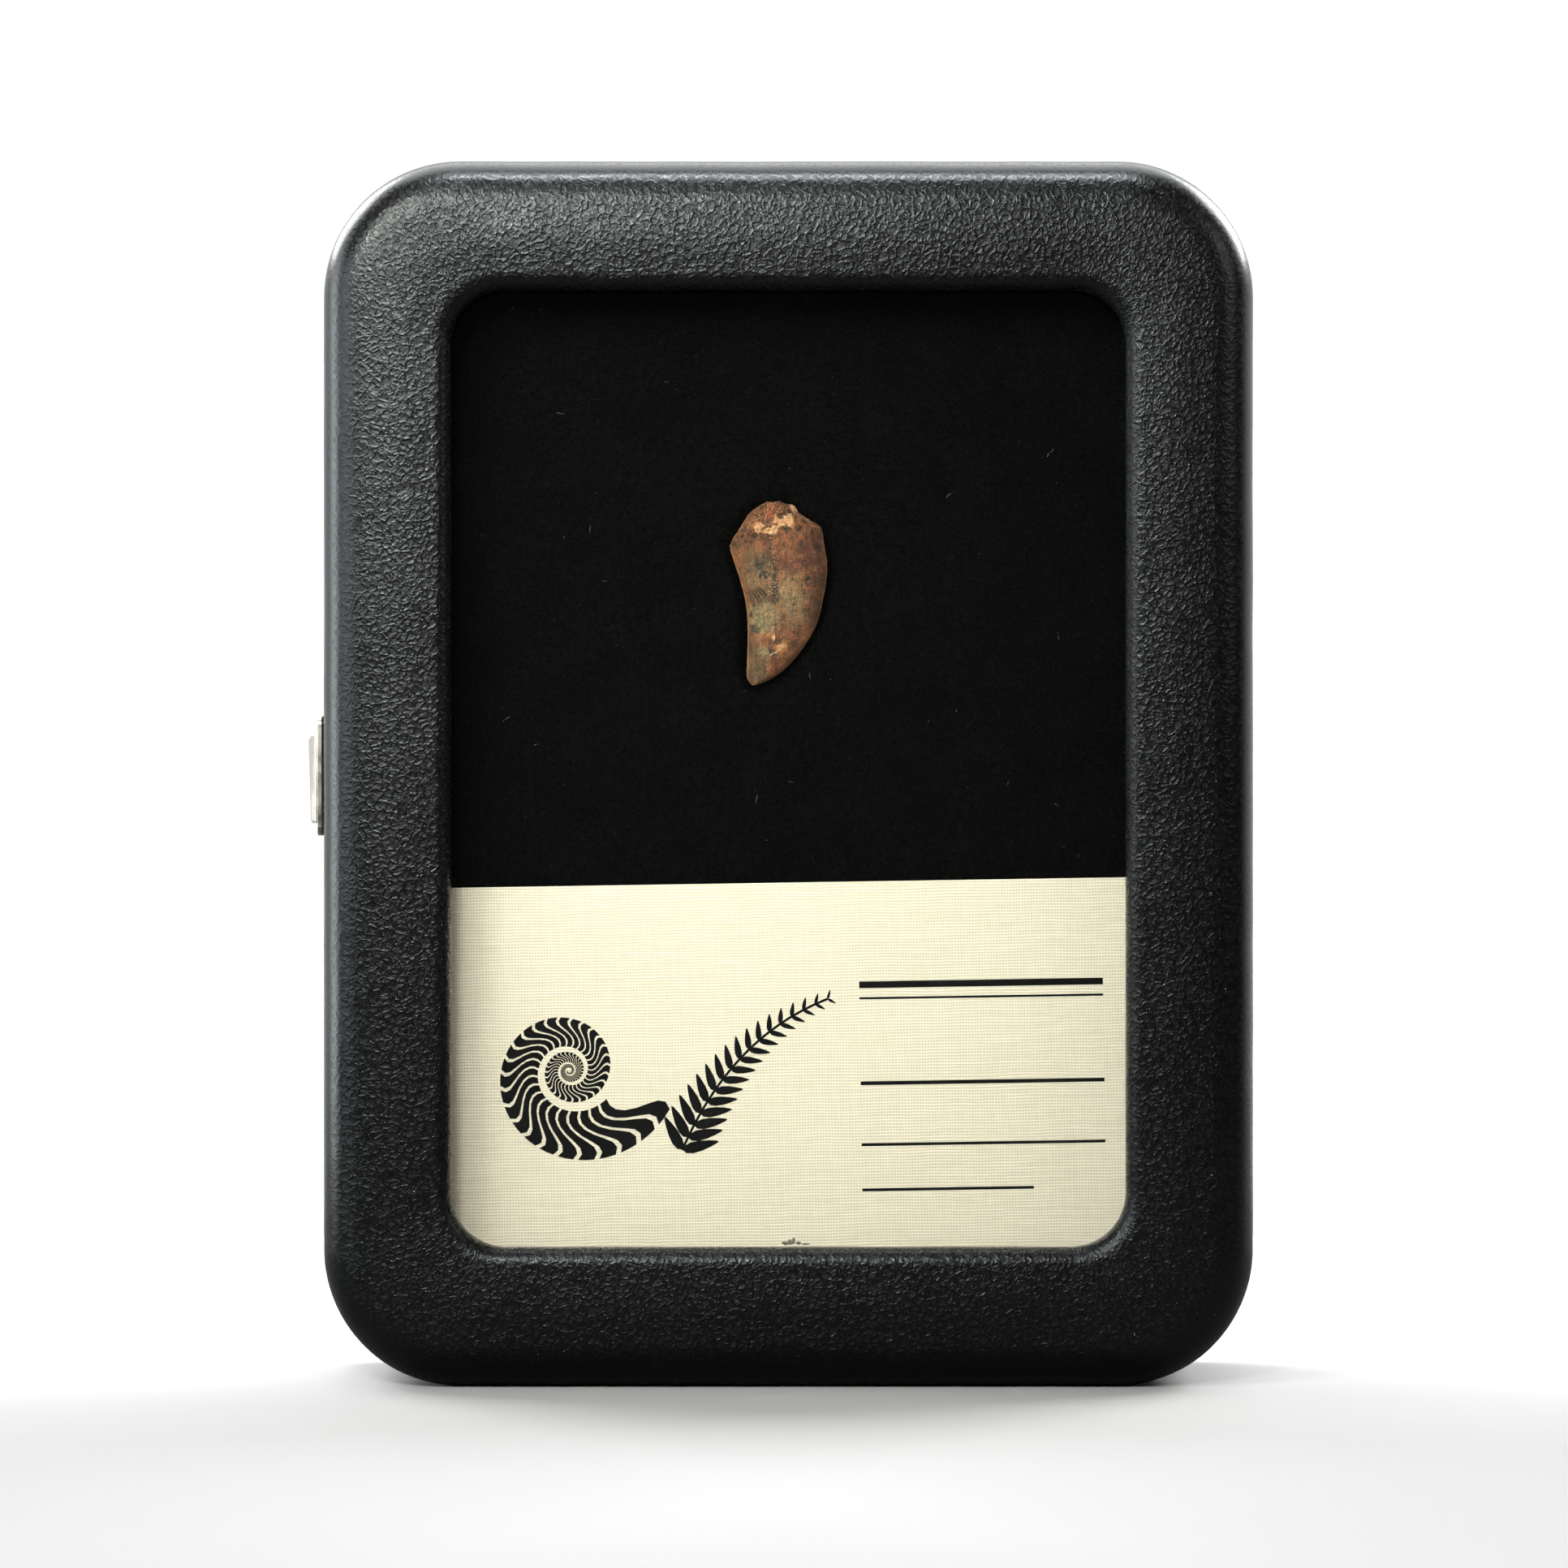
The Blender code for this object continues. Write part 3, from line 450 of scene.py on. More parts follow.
    # Where the grain's pattern lies: drawn out over the shoulder, and pressed flat there and in the window
    taut = addNode(tree, "ShaderNodeMath", {0: inset, 1: given["Taut Width"]}, operation="MINIMUM")
    drawn = addNode(tree, "ShaderNodeMath", {0: taut, 1: given["Taut Share"]}, operation="MULTIPLY")
    outFlat = addNode(tree, "ShaderNodeSeparateXYZ", {0: outwards})
    outPlace = addNode(tree, "ShaderNodeCombineXYZ", {"X": outFlat.outputs[0], "Y": 0.0, "Z": outFlat.outputs[1]})
    grainPlace = addNode(tree, "ShaderNodeVectorMath", {0: outPlace, 1: drawn, 2: place}, operation="MULTIPLY_ADD")
    fromFront = addNode(tree, "ShaderNodeMath", {0: depth, 1: given["Front"]}, operation="SUBTRACT")
    flat = addNode(tree, "ShaderNodeMapRange", {"Value": inset, "From Min": 0.6 * mm, "From Max": 2.9 * mm, "To Min": 0.12, "To Max": 1.0}, interpolation_type="SMOOTHSTEP")
    side = addNode(tree, "ShaderNodeMapRange", {"Value": fromFront, "From Min": 3 * mm, "From Max": 7 * mm, "To Max": 0.8})
    either = addNode(tree, "ShaderNodeMath", {0: flat, 1: side}, operation="MAXIMUM")
    atWindow = addNode(tree, "ShaderNodeMapRange", {"Value": fromFront, "From Min": 0.95 * mm, "From Max": 1.5 * mm, "To Max": 0.9})
    nearWindow = addNode(tree, "ShaderNodeMath", {0: inset, 1: 9 * mm}, operation="GREATER_THAN")
    calm = addNode(tree, "ShaderNodeMath", {0: atWindow, 1: nearWindow}, operation="MULTIPLY")
    inFront = addNode(tree, "ShaderNodeMath", {0: fromFront, 1: 5 * mm}, operation="LESS_THAN")
    calmer = addNode(tree, "ShaderNodeMath", {0: calm, 1: inFront}, operation="MULTIPLY")
    kept = addNode(tree, "ShaderNodeMath", {0: 1.0, 1: calmer}, operation="SUBTRACT")
    grainShows = addNode(tree, "ShaderNodeMath", {0: either, 1: kept}, operation="MULTIPLY")
    placed = addNode(tree, "GeometryNodeStoreNamedAttribute", {"Geometry": welded, "Name": "grainPlace", "Value": grainPlace}, data_type="FLOAT_VECTOR")
    marked = addNode(tree, "GeometryNodeStoreNamedAttribute", {"Geometry": placed, "Name": "grainShows", "Value": grainShows}, data_type="FLOAT")
    # The cover's slow waves, only on its outside
    finish = addNode(tree, "GeometryNodeInputNamedAttribute", {"Name": "finish"}, **field)
    outside = addNode(tree, "ShaderNodeMapRange", {"Value": finish, "From Min": 0.6, "From Max": 0.2})
    slow = addNode(tree, "ShaderNodeTexNoise", {"Vector": here, "Scale": 1 / (6 * mm), "Detail": 3.0, "Roughness": 0.4})
    wave = addNode(tree, "ShaderNodeMapRange", {"Value": slow, "To Min": -1.0, "To Max": 1.0})
    waveHeight = addNode(tree, "ShaderNodeMath", {0: wave, 1: given["Wave Height"]}, operation="MULTIPLY")
    shown = addNode(tree, "ShaderNodeMath", {0: waveHeight, 1: outside}, operation="MULTIPLY")
    normal = addNode(tree, "GeometryNodeInputNormal")
    push = addNode(tree, "ShaderNodeVectorMath", {0: normal, "Scale": shown}, operation="SCALE")
    grained = addNode(tree, "GeometryNodeSetPosition", {"Geometry": marked, "Offset": push})
    inner = addNode(tree, "FunctionNodeCompare", {0: finish, 1: 0.5}, operation="GREATER_THAN", data_type="FLOAT")
    covered = addNode(tree, "GeometryNodeSetMaterial", {"Geometry": grained, "Material": given["Outside"]})
    lined = addNode(tree, "GeometryNodeSetMaterial", {"Geometry": covered, "Selection": inner, "Material": given["Inside"]})
    real = addNode(tree, "GeometryNodeRealizeInstances", {"Geometry": lined})
    smooth = addNode(tree, "GeometryNodeSetShadeSmooth", {"Geometry": real})
    addNode(tree, "NodeGroupOutput", {0: smooth})
    return tree


caseWrap = {
    "cornerRadius": 12, "wall": 2.4, "backWall": 2, "backRounding": 2, "rimRounding": 1.6,
    "shoulder": 4, "crown": 0.25, "bandWidth": 11.35, "windowRadius": 4.8, "windowRoll": 1.3,
    "rebate": 2.5, "windowTrim": 0.6, "windowRise": 0.43, "pathStep": 0.42,
    "coverStep": 0.3, "insideStep": 1.6, "flatStep": 3.2, "tautWidth": 2.2, "tautShare": 0.75, "waveHeight": 0.05,
}
seat = {"radius": 1.05, "halfSlot": 0.9, "slotEnd": 1.75, "halfLength": 6.3, "spread": 52, "steps": 18}
wrap = wrapTree()


def wrapSizes(evenInset, innerInset, innerRadius, **changes):
    sizes = {
        "Width": caseWidth, "Height": caseHeight,
        "Middle X": caseMiddle.x, "Middle Z": caseMiddle.z,
        "Corner Radius": caseWrap["cornerRadius"] * mm, "Path Step": caseWrap["pathStep"] * mm,
        "Even Inset": evenInset * mm, "Inner Inset": innerInset * mm, "Inner Radius": innerRadius * mm,
        "Trim": 0.0, "Rise": 0.0, "Front": frontY, "Taut Width": caseWrap["tautWidth"] * mm,
        "Taut Share": caseWrap["tautShare"], "Wave Height": caseWrap["waveHeight"] * mm,
        "Outside": leatherette, "Inside": lining,
    }
    sizes.update(changes)
    return sizes


def cutHingeSeats(piece):
    # The keyhole seats that the two hinges sit in
    meet = math.asin(seat["halfSlot"] / seat["radius"])
    outline = []
    for i in range(seat["steps"] + 1):
        turn = meet * (2 * i / seat["steps"] - 1)
        outline.append((seat["radius"] * math.cos(turn), seat["radius"] * math.sin(turn)))
    outline += [(-seat["slotEnd"], seat["halfSlot"]), (-seat["slotEnd"], -seat["halfSlot"])]
    shape = bmesh.new()
    for side in (-0.5, 0.5):
        ends = []
        for z in (-seat["halfLength"], seat["halfLength"]):
            ends.append([
                shape.verts.new(hingeAxis + Vector((x, y, z + side * seat["spread"])) * mm) for x, y in outline
            ])
        shape.faces.new(ends[0][::-1])
        shape.faces.new(ends[1])
        for i in range(len(outline)):
            j = (i + 1) % len(outline)
            shape.faces.new((ends[0][i], ends[0][j], ends[1][j], ends[1][i]))
    bmesh.ops.recalc_face_normals(shape, faces=shape.faces)
    mesh = bpy.data.meshes.new("seatCutter")
    shape.to_mesh(mesh)
    shape.free()
    cutter = addPiece("seatCutter", mesh)
    cut = piece.modifiers.new("seats", "BOOLEAN")
    cut.operation = "DIFFERENCE"
    cut.solver = "MANIFOLD"
    cut.object = cutter
    applyModifiers(piece)
    bpy.data.objects.remove(cutter)


def lidCover():
    # The lid's frame: pillowed leatherette rolled over into the window, with a papered inside
    c = caseWrap
    front, rim = frontY / mm, lidRimY / mm
    rebateY = front + c["rebate"]
    cover = {
        "step": c["coverStep"] * mm, "finish": 0.0,
        "corners": [
            (c["wall"] * mm, rim * mm, 0),
            (0, rim * mm, c["rimRounding"] * mm),
            (0, (front + c["crown"]) * mm, c["shoulder"] * mm),
            ((c["shoulder"] + c["bandWidth"] - c["windowRoll"]) / 2 * mm, front * mm, 30 * mm),
            (c["bandWidth"] * mm, (front + c["crown"]) * mm, c["windowRoll"] * mm),
            (c["bandWidth"] * mm, rebateY * mm, 0),
        ],
    }
    inside = {
        "step": c["insideStep"] * mm, "finish": 1.0,
        "corners": [
            (c["bandWidth"] * mm, rebateY * mm, 0),
            (c["wall"] * mm, rebateY * mm, 0),
            (c["wall"] * mm, rim * mm, 0),
        ],
    }
    sizes = wrapSizes(
        c["shoulder"], c["bandWidth"], c["windowRadius"],
        Trim=c["windowTrim"] * mm, Rise=c["windowRise"] * mm,
    )
    piece = growMesh("lid_leather", wrap, sizes, sectionMesh("lidSection", [cover, inside]))
    turnFacesOut(piece.data)
    cutHingeSeats(piece)
    piece.data.set_sharp_from_angle(angle=math.radians(50))
    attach(piece, "lid")
    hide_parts("lid_shell")
    return piece


def baseCover():
    # The tray: leatherette outside and over its rim, black paper inside
    c = caseWrap
    rim, back = baseRimY / mm, backY / mm
    middle = caseWidth / 2
    cover = {
        "step": c["coverStep"] * 1.6 * mm, "finish": 0.0,
        "corners": [
            (c["wall"] * mm, rim * mm, 0),
            (0, rim * mm, c["rimRounding"] * mm),
            (0, back * mm, c["backRounding"] * mm),
            (5 * mm, back * mm, 0),
        ],
    }
    rear = {
        "step": c["flatStep"] * mm, "finish": 0.0,
        "corners": [(5 * mm, back * mm, 0), (middle, back * mm, 0)],
    }
    inside = {
        "step": c["flatStep"] * mm, "finish": 1.0,
        "corners": [
            (middle, (back - c["backWall"]) * mm, 0),
            (c["wall"] * mm, (back - c["backWall"]) * mm, 0),
            (c["wall"] * mm, rim * mm, 0),
        ],
    }
    sizes = wrapSizes(7, middle / mm, 0)
    piece = growMesh("base_leather", wrap, sizes, sectionMesh("baseSection", [cover, rear, inside]))
    turnFacesOut(piece.data)
    cutHingeSeats(piece)
    piece.data.set_sharp_from_angle(angle=math.radians(50))
    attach(piece, "case_base")
    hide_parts("base_shell")
    return piece


lidLeather = lidCover()
print("lid cover made:", countTriangles(lidLeather), "triangles")
baseLeather = baseCover()
print("base cover made:", countTriangles(baseLeather), "triangles")

frame["nodes"]["window_glass"].data.materials[0] = floatGlass()
frame["nodes"]["glass_retainer"].data.materials[0] = lining


# Tooth

toothShape = {
    "subdivisions": 3, "carinaCrease": 0.75,
    "breakZ": 4.9, "breakSlope": 0.22, "crestX": -0.5,
    "lumps": (1.3, 0.07), "grit": (0.35, 0.035), "crumbs": (0.14, 0.018), "rootRubble": (0.5, 0.28),
    "grooveDepth": 0.07, "grooveWidth": 0.07,
    "serrationPitch": 0.21, "serrationSize": 0.1,
}

# Stains, pits and stuck-on matrix: where from the tooth's middle (x, z), half sizes, turn, colour,
# how ragged and soft the border is, how much shows, and how far it stands out or sinks in
toothMarks = [
    {"at": (-1.6, 1.3), "size": (1.5, 2.6), "turn": 20, "colour": "#6a5c40", "ragged": 0.9, "soft": 0.9, "shows": 0.55, "stands": 0},
    {"at": (-1.5, -2.2), "size": (1.35, 1.5), "turn": -12, "colour": "#7d7350", "ragged": 1.0, "soft": 0.9, "shows": 0.7, "stands": 0},
    {"at": (1.2, -0.3), "size": (1.15, 2.1), "turn": 6, "colour": "#84714e", "ragged": 1.0, "soft": 0.9, "shows": 0.62, "stands": 0},
    {"at": (-1.9, -6.2), "size": (0.85, 1.9), "turn": 4, "colour": "#564a32", "ragged": 0.9, "soft": 0.8, "shows": 0.65, "stands": 0},
    {"at": (2.9, 3.9), "size": (1.1, 1.5), "turn": -10, "colour": "#4a2416", "ragged": 0.6, "soft": 0.7, "shows": 0.7, "stands": 0},
    {"at": (3.3, -0.4), "size": (0.75, 2.6), "turn": -8, "colour": "#3b2718", "ragged": 0.6, "soft": 0.7, "shows": 0.6, "stands": 0},
    {"at": (1.3, 2.6), "size": (1.5, 0.7), "turn": 8, "colour": "#5a2f1c", "ragged": 0.7, "soft": 0.7, "shows": 0.55, "stands": 0},
    {"at": (-1.3, 2.9), "size": (1.0, 0.55), "turn": 10, "colour": "#40362a", "ragged": 0.6, "soft": 0.6, "shows": 0.8, "stands": 0},
    {"at": (-1.75, 2.35), "size": (0.42, 0.34), "turn": 30, "colour": "#26342a", "ragged": 0.7, "soft": 0.4, "shows": 0.85, "stands": -0.03},
    {"at": (-1.2, 1.62), "size": (0.42, 0.3), "turn": -35, "colour": "#1f2a22", "ragged": 0.7, "soft": 0.35, "shows": 0.9, "stands": -0.04},
    {"at": (-0.5, 1.5), "size": (0.36, 0.25), "turn": 10, "colour": "#282019", "ragged": 0.7, "soft": 0.4, "shows": 0.85, "stands": -0.03},
    {"at": (-0.42, 2.35), "size": (0.22, 0.34), "turn": 20, "colour": "#231b15", "ragged": 0.6, "soft": 0.4, "shows": 0.85, "stands": -0.04},
    {"at": (-0.45, -0.35), "size": (0.4, 1.0), "turn": 0, "colour": "#2a2118", "ragged": 0.9, "soft": 0.5, "shows": 0.7, "stands": -0.02},
    {"at": (-2.5, -1.9), "size": (0.24, 0.3), "turn": 0, "colour": "#2b1a10", "ragged": 0.5, "soft": 0.5, "shows": 0.85, "stands": -0.03},
    {"at": (-2.1, -3.3), "size": (0.32, 0.2), "turn": 25, "colour": "#2c2c24", "ragged": 0.5, "soft": 0.5, "shows": 0.85, "stands": -0.03},
    {"at": (-2.35, -0.92), "size": (0.4, 0.13), "turn": -42, "colour": "#241d14", "ragged": 0.4, "soft": 0.4, "shows": 0.9, "stands": -0.05},
    {"at": (-1.25, -5.1), "size": (0.3, 0.45), "turn": -15, "colour": "#83805f", "ragged": 0.9, "soft": 0.8, "shows": 0.6, "stands": 0},
    {"at": (1.3, -1.9), "size": (0.42, 0.26), "turn": 0, "colour": "#4c4a3c", "ragged": 0.9, "soft": 0.8, "shows": 0.6, "stands": 0},
    {"at": (1.75, -3.55), "size": (0.16, 0.24), "turn": 0, "colour": "#2a2018", "ragged": 0.5, "soft": 0.5, "shows": 0.85, "stands": -0.05},
    {"at": (1.42, -1.02), "size": (0.12, 0.17), "turn": 20, "colour": "#14110d", "ragged": 0.4, "soft": 0.4, "shows": 0.95, "stands": -0.06},
    {"at": (0.5, -1.05), "size": (0.1, 0.17), "turn": 0, "colour": "#191c18", "ragged": 0.4, "soft": 0.4, "shows": 0.9, "stands": -0.05},
    {"at": (1.35, 1.42), "size": (0.17, 0.15), "turn": 0, "colour": "#1c1814", "ragged": 0.5, "soft": 0.4, "shows": 0.9, "stands": -0.05},
    {"at": (2.55, 1.12), "size": (0.22, 0.15), "turn": 45, "colour": "#1d140e", "ragged": 0.5, "soft": 0.4, "shows": 0.9, "stands": -0.05},
    {"at": (2.15, 0.4), "size": (0.08, 0.34), "turn": -4, "colour": "#2b2a22", "ragged": 0.5, "soft": 0.5, "shows": 0.85, "stands": -0.03},
    {"at": (2.35, -0.1), "size": (0.07, 0.3), "turn": 4, "colour": "#2b2a22", "ragged": 0.5, "soft": 0.5, "shows": 0.8, "stands": -0.03},
    {"at": (3.45, 4.1), "size": (0.32, 0.5), "turn": 10, "colour": "#241b15", "ragged": 0.7, "soft": 0.5, "shows": 0.8, "stands": -0.03},
    {"at": (0.1, -4.8), "size": (0.5, 0.46), "turn": 20, "colour": "#a8794a", "ragged": 1.0, "soft": 0.7, "shows": 0.8, "stands": 0.04},
    {"at": (0.15, -5.28), "size": (0.28, 0.24), "turn": 30, "colour": "#a4562a", "ragged": 0.6, "soft": 0.4, "shows": 0.85, "stands": 0},
    {"at": (-0.6, -5.35), "size": (0.3, 0.06), "turn": 12, "colour": "#d9cfb4", "ragged": 0.3, "soft": 0.5, "shows": 0.8, "stands": 0.03},
    {"at": (-0.7, 6.88), "size": (0.27, 0.3), "turn": 0, "colour": "#b0502a", "ragged": 1.0, "soft": 0.7, "shows": 0.8, "stands": 0},
]

# Crumbs of sandy matrix that stand on the enamel: where, half sizes, turn and height
toothMatrix = [
    {"at": (-1.62, 5.8), "size": (0.5, 0.42), "turn": -10, "ragged": 0.75, "soft": 0.25, "stands": 0.14},
    {"at": (-1.05, 5.6), "size": (0.36, 0.3), "turn": 20, "ragged": 0.75, "soft": 0.25, "stands": 0.1},
    {"at": (-0.35, 5.5), "size": (0.4, 0.4), "turn": 30, "ragged": 0.7, "soft": 0.25, "stands": 0.12},
    {"at": (0.05, 6.2), "size": (0.62, 0.55), "turn": 40, "ragged": 0.6, "soft": 0.2, "stands": 0.15},
    {"at": (0.85, 6.35), "size": (0.6, 0.62), "turn": 10, "ragged": 0.6, "soft": 0.2, "stands": 0.16},
    {"at": (1.3, 7.6), "size": (0.3, 0.2), "turn": -25, "ragged": 0.8, "soft": 0.4, "stands": 0.06},
    {"at": (0.25, -4.75), "size": (0.34, 0.3), "turn": 20, "ragged": 0.9, "soft": 0.5, "stands": 0.04},
    {"at": (-0.4, -3.9), "size": (0.13, 0.4), "turn": 4, "ragged": 0.8, "soft": 0.3, "stands": 0.04},
]
grooves = {"count": 5, "from": (-2.9, 0.2), "to": (-1.75, 0.5), "run": (0.92, -1.3), "bend": 0.12}


def toothOutline(mesh):
    # The two cutting edges as (x, z) rows in millimetres from the tooth's middle, tip first
    found = (points(mesh) - np.array(toothMiddle)) / mm
    onEdge = found[np.abs(found[:, 1] - seamY) < 0.002]
    onEdge = onEdge[np.argsort(onEdge[:, 2])]
    middle = np.interp(onEdge[:, 2], (-8, 2, 8), (-2.2, 0, 0.2))
    return onEdge[onEdge[:, 0] < middle][:, [0, 2]], onEdge[onEdge[:, 0] >= middle][:, [0, 2]]


def noiseField(places, size, seed, octaves=3):
    # Fractal noise from -1 to 1 at many places, in millimetres
    offset = Vector((seed, 2.7 * seed, -seed))
    return np.array([noise.fractal(Vector(p) / size + offset, 1.0, 2.0, octaves) for p in places])


def markShare(x, z, mark, ragged):
    # How much of a mark lies at each place, from 0 to 1
    turn = math.radians(mark["turn"])
    dx, dz = x - mark["at"][0], z - mark["at"][1]
    across = (dx * math.cos(turn) + dz * math.sin(turn)) / mark["size"][0]
    along = (dz * math.cos(turn) - dx * math.sin(turn)) / mark["size"][1]
    return smoothStep(1 + mark["soft"] / 2, 1 - mark["soft"] / 2, np.hypot(across, along) + ragged * mark["ragged"])


def grooveShare(x, z):
    # Feeding scratches: parallel grooves that bend a little as they run down
    total = np.zeros(len(x))
    for i in range(grooves["count"]):
        part = i / (grooves["count"] - 1)
        startX = grooves["from"][0] + (grooves["to"][0] - grooves["from"][0]) * part
        startZ = grooves["from"][1] + (grooves["to"][1] - grooves["from"][1]) * part
        length = math.hypot(*grooves["run"])
        ux, uz = grooves["run"][0] / length, grooves["run"][1] / length
        along = ((x - startX) * ux + (z - startZ) * uz) / length
        across = (x - startX) * uz - (z - startZ) * ux + grooves["bend"] * np.sin(np.clip(along, 0, 1) * math.pi)
        ends = smoothStep(-0.05, 0.12, along) * smoothStep(1.08, 0.8, along)
        total = np.maximum(total, ends * np.exp(-(across / toothShape["grooveWidth"]) ** 2))
    return total


def fossilEnamel():
    # Fossil enamel and dentine: brown to olive, glassy on the grains, with sandy matrix stuck on in places.
    material, tree, shader, place = startMaterial("fossilEnamel")
    fromMiddle = addNode(tree, "ShaderNodeVectorMath", {0: place, 1: tuple(toothMiddle)}, operation="SUBTRACT")
    local = addNode(tree, "ShaderNodeVectorMath", {0: fromMiddle, "Scale": 1 / mm}, operation="SCALE")
    cloud = addNode(tree, "ShaderNodeTexNoise", {"Vector": local, "Scale": 0.9, "Detail": 6.0, "Roughness": 0.65})
    rust = addNode(tree, "ShaderNodeTexNoise", {"Vector": fromMiddle, "Scale": 1.3 / mm, "Detail": 6.0, "Roughness": 0.7})
    mottle = addNode(tree, "ShaderNodeTexNoise", {"Vector": local, "Scale": 3.4, "Detail": 5.0, "Roughness": 0.75})
    drawn = addNode(tree, "ShaderNodeVectorMath", {0: local, 1: (1.0, 1.0, 0.2)}, operation="MULTIPLY")
    streak = addNode(tree, "ShaderNodeTexNoise", {"Vector": drawn, "Scale": 5.5, "Detail": 4.0, "Roughness": 0.7})
    grain = addNode(tree, "ShaderNodeTexNoise", {"Vector": local, "Scale": 9.5, "Detail": 4.0, "Roughness": 0.7})
    # The marks' borders wander, coarsely and finely
    wander = local
    for scale, far in ((1.2, 1.7), (4.5, 0.8)):
        shift = addNode(tree, "ShaderNodeTexNoise", {"Vector": local, "Scale": scale, "Detail": 3.0})
        level = addNode(tree, "ShaderNodeVectorMath", {0: shift.outputs["Color"], 1: (0.5, 0.5, 0.5)}, operation="SUBTRACT")
        wander = addNode(tree, "ShaderNodeVectorMath", {0: level, 1: (far, far, far), 2: wander}, operation="MULTIPLY_ADD")
    ragged = addNode(tree, "ShaderNodeMapRange", {"Value": mottle, "From Min": 0.3, "From Max": 0.7, "To Min": -1.0, "To Max": 1.0}, clamp=False)
    brown = addNode(tree, "ShaderNodeMapRange", {"Value": cloud, "From Min": 0.38, "From Max": 0.62})
    colour = addNode(tree, "ShaderNodeMix", {"Factor": brown, "A": linearColour("#3f2413"), "B": linearColour("#8a5630")}, data_type="RGBA").outputs[2]
    rusty = addNode(tree, "ShaderNodeMapRange", {"Value": rust, "From Min": 0.52, "From Max": 0.68, "To Max": 0.8})
    colour = addNode(tree, "ShaderNodeMix", {"Factor": rusty, "A": colour, "B": linearColour("#8c4520")}, data_type="RGBA").outputs[2]
    for mark in toothMarks:
        centre = (mark["at"][0], 0.0, mark["at"][1])
        size = (mark["size"][0], 1000.0, mark["size"][1])
        turned = addNode(tree, "ShaderNodeMapping", {"Vector": wander, "Location": centre, "Rotation": (0, -math.radians(mark["turn"]), 0), "Scale": size}, vector_type="TEXTURE")
        away = addNode(tree, "ShaderNodeVectorMath", {0: turned}, operation="LENGTH")
        torn = addNode(tree, "ShaderNodeMath", {0: ragged, 1: mark["ragged"] * 0.4, 2: away.outputs["Value"]}, operation="MULTIPLY_ADD")
        near = addNode(tree, "ShaderNodeMapRange", {"Value": torn, "From Min": 1 + mark["soft"] / 2, "From Max": 1 - mark["soft"] / 2, "To Max": mark["shows"]}, interpolation_type="SMOOTHSTEP")
        colour = addNode(tree, "ShaderNodeMix", {"Factor": near, "A": colour, "B": linearColour(mark["colour"])}, data_type="RGBA").outputs[2]
    # Fine mottling, and fibres along the blade
    for value, low, high in ((mottle, 0.62, 1.4), (grain, 0.5, 1.6), (streak, 0.7, 1.3)):
        factor = addNode(tree, "ShaderNodeMapRange", {"Value": value, "From Min": 0.35, "From Max": 0.65, "To Min": low, "To Max": high})
        scaled = addNode(tree, "ShaderNodeVectorMath", {0: colour, "Scale": factor}, operation="SCALE")
        colour = scaled.outputs[0]
    matrix = addNode(tree, "ShaderNodeAttribute", attribute_name="matrix").outputs["Fac"]
    crust = addNode(tree, "ShaderNodeMapRange", {"Value": mottle, "From Min": 0.35, "From Max": 0.65})
    sandy = addNode(tree, "ShaderNodeMix", {"Factor": crust, "A": linearColour("#a9683c"), "B": linearColour("#edc08b")}, data_type="RGBA")
    colour = addNode(tree, "ShaderNodeMix", {"Factor": matrix, "A": colour, "B": sandy.outputs[2]}, data_type="RGBA").outputs[2]
    # painted shade in the grooves and the root's hollows: they are coloured near black
    grooveAndShade = addNode(tree, "ShaderNodeAttribute", attribute_name="grooveAndShade").outputs["Fac"]
    colour = addNode(tree, "ShaderNodeMix", {"Factor": grooveAndShade, "A": colour, "B": linearColour("#1b150d")}, data_type="RGBA").outputs[2]
    # Pale and dark grains, thickest down the middle of the blade and in the broken root. The pale grains are partly
    # painted glints, standing in for the sparkle of the enamel.
    crowd = addNode(tree, "ShaderNodeAttribute", attribute_name="grains").outputs["Fac"]
    limit = addNode(tree, "ShaderNodeMapRange", {"Value": crowd, "To Min": 0.71, "To Max": 0.57})
    over = addNode(tree, "ShaderNodeMath", {0: grain, 1: limit}, operation="SUBTRACT")
    # partly painted glints: the pale specks also stand in for sparkles of light on the grains
    bright = addNode(tree, "ShaderNodeMapRange", {"Value": over, "From Max": 0.05, "To Max": 0.8})
    colour = addNode(tree, "ShaderNodeMix", {"Factor": bright, "A": colour, "B": linearColour("#d6a878")}, data_type="RGBA").outputs[2]
    other = addNode(tree, "ShaderNodeTexNoise", {"Vector": fromMiddle, "Scale": 1 / (0.16 * mm), "Detail": 4.0, "Roughness": 0.7})
    under = addNode(tree, "ShaderNodeMath", {0: other, 1: limit}, operation="SUBTRACT")
    dark = addNode(tree, "ShaderNodeMapRange", {"Value": under, "From Min": -0.04, "From Max": 0.04, "To Max": 0.85})
    colour = addNode(tree, "ShaderNodeMix", {"Factor": dark, "A": colour, "B": linearColour("#150f0a")}, data_type="RGBA").outputs[2]
    # painted highlight: a paler rim along both cutting edges stands in for the edges catching the light
    paintedRimLight = addNode(tree, "ShaderNodeAttribute", attribute_name="paintedRimLight").outputs["Fac"]
    edge = addNode(tree, "ShaderNodeMath", {0: paintedRimLight, 1: 0.6}, operation="MULTIPLY")
    colour = addNode(tree, "ShaderNodeMix", {"Factor": edge, "A": colour, "B": linearColour("#b08258")}, data_type="RGBA").outputs[2]
    rough = addNode(tree, "ShaderNodeMapRange", {"Value": grain, "From Min": 0.35, "From Max": 0.65, "To Min": 0.6, "To Max": 0.3})
    heights = addNode(tree, "ShaderNodeMath", {0: mottle, 1: 1.5, 2: grain}, operation="MULTIPLY_ADD")
    bump = addNode(tree, "ShaderNodeBump", {"Height": heights, "Distance": 0.1 * mm})
    tree.links.new(colour, shader.inputs["Base Color"])
    tree.links.new(rough.outputs[0], shader.inputs["Roughness"])
    tree.links.new(bump.outputs[0], shader.inputs["Normal"])
    return material


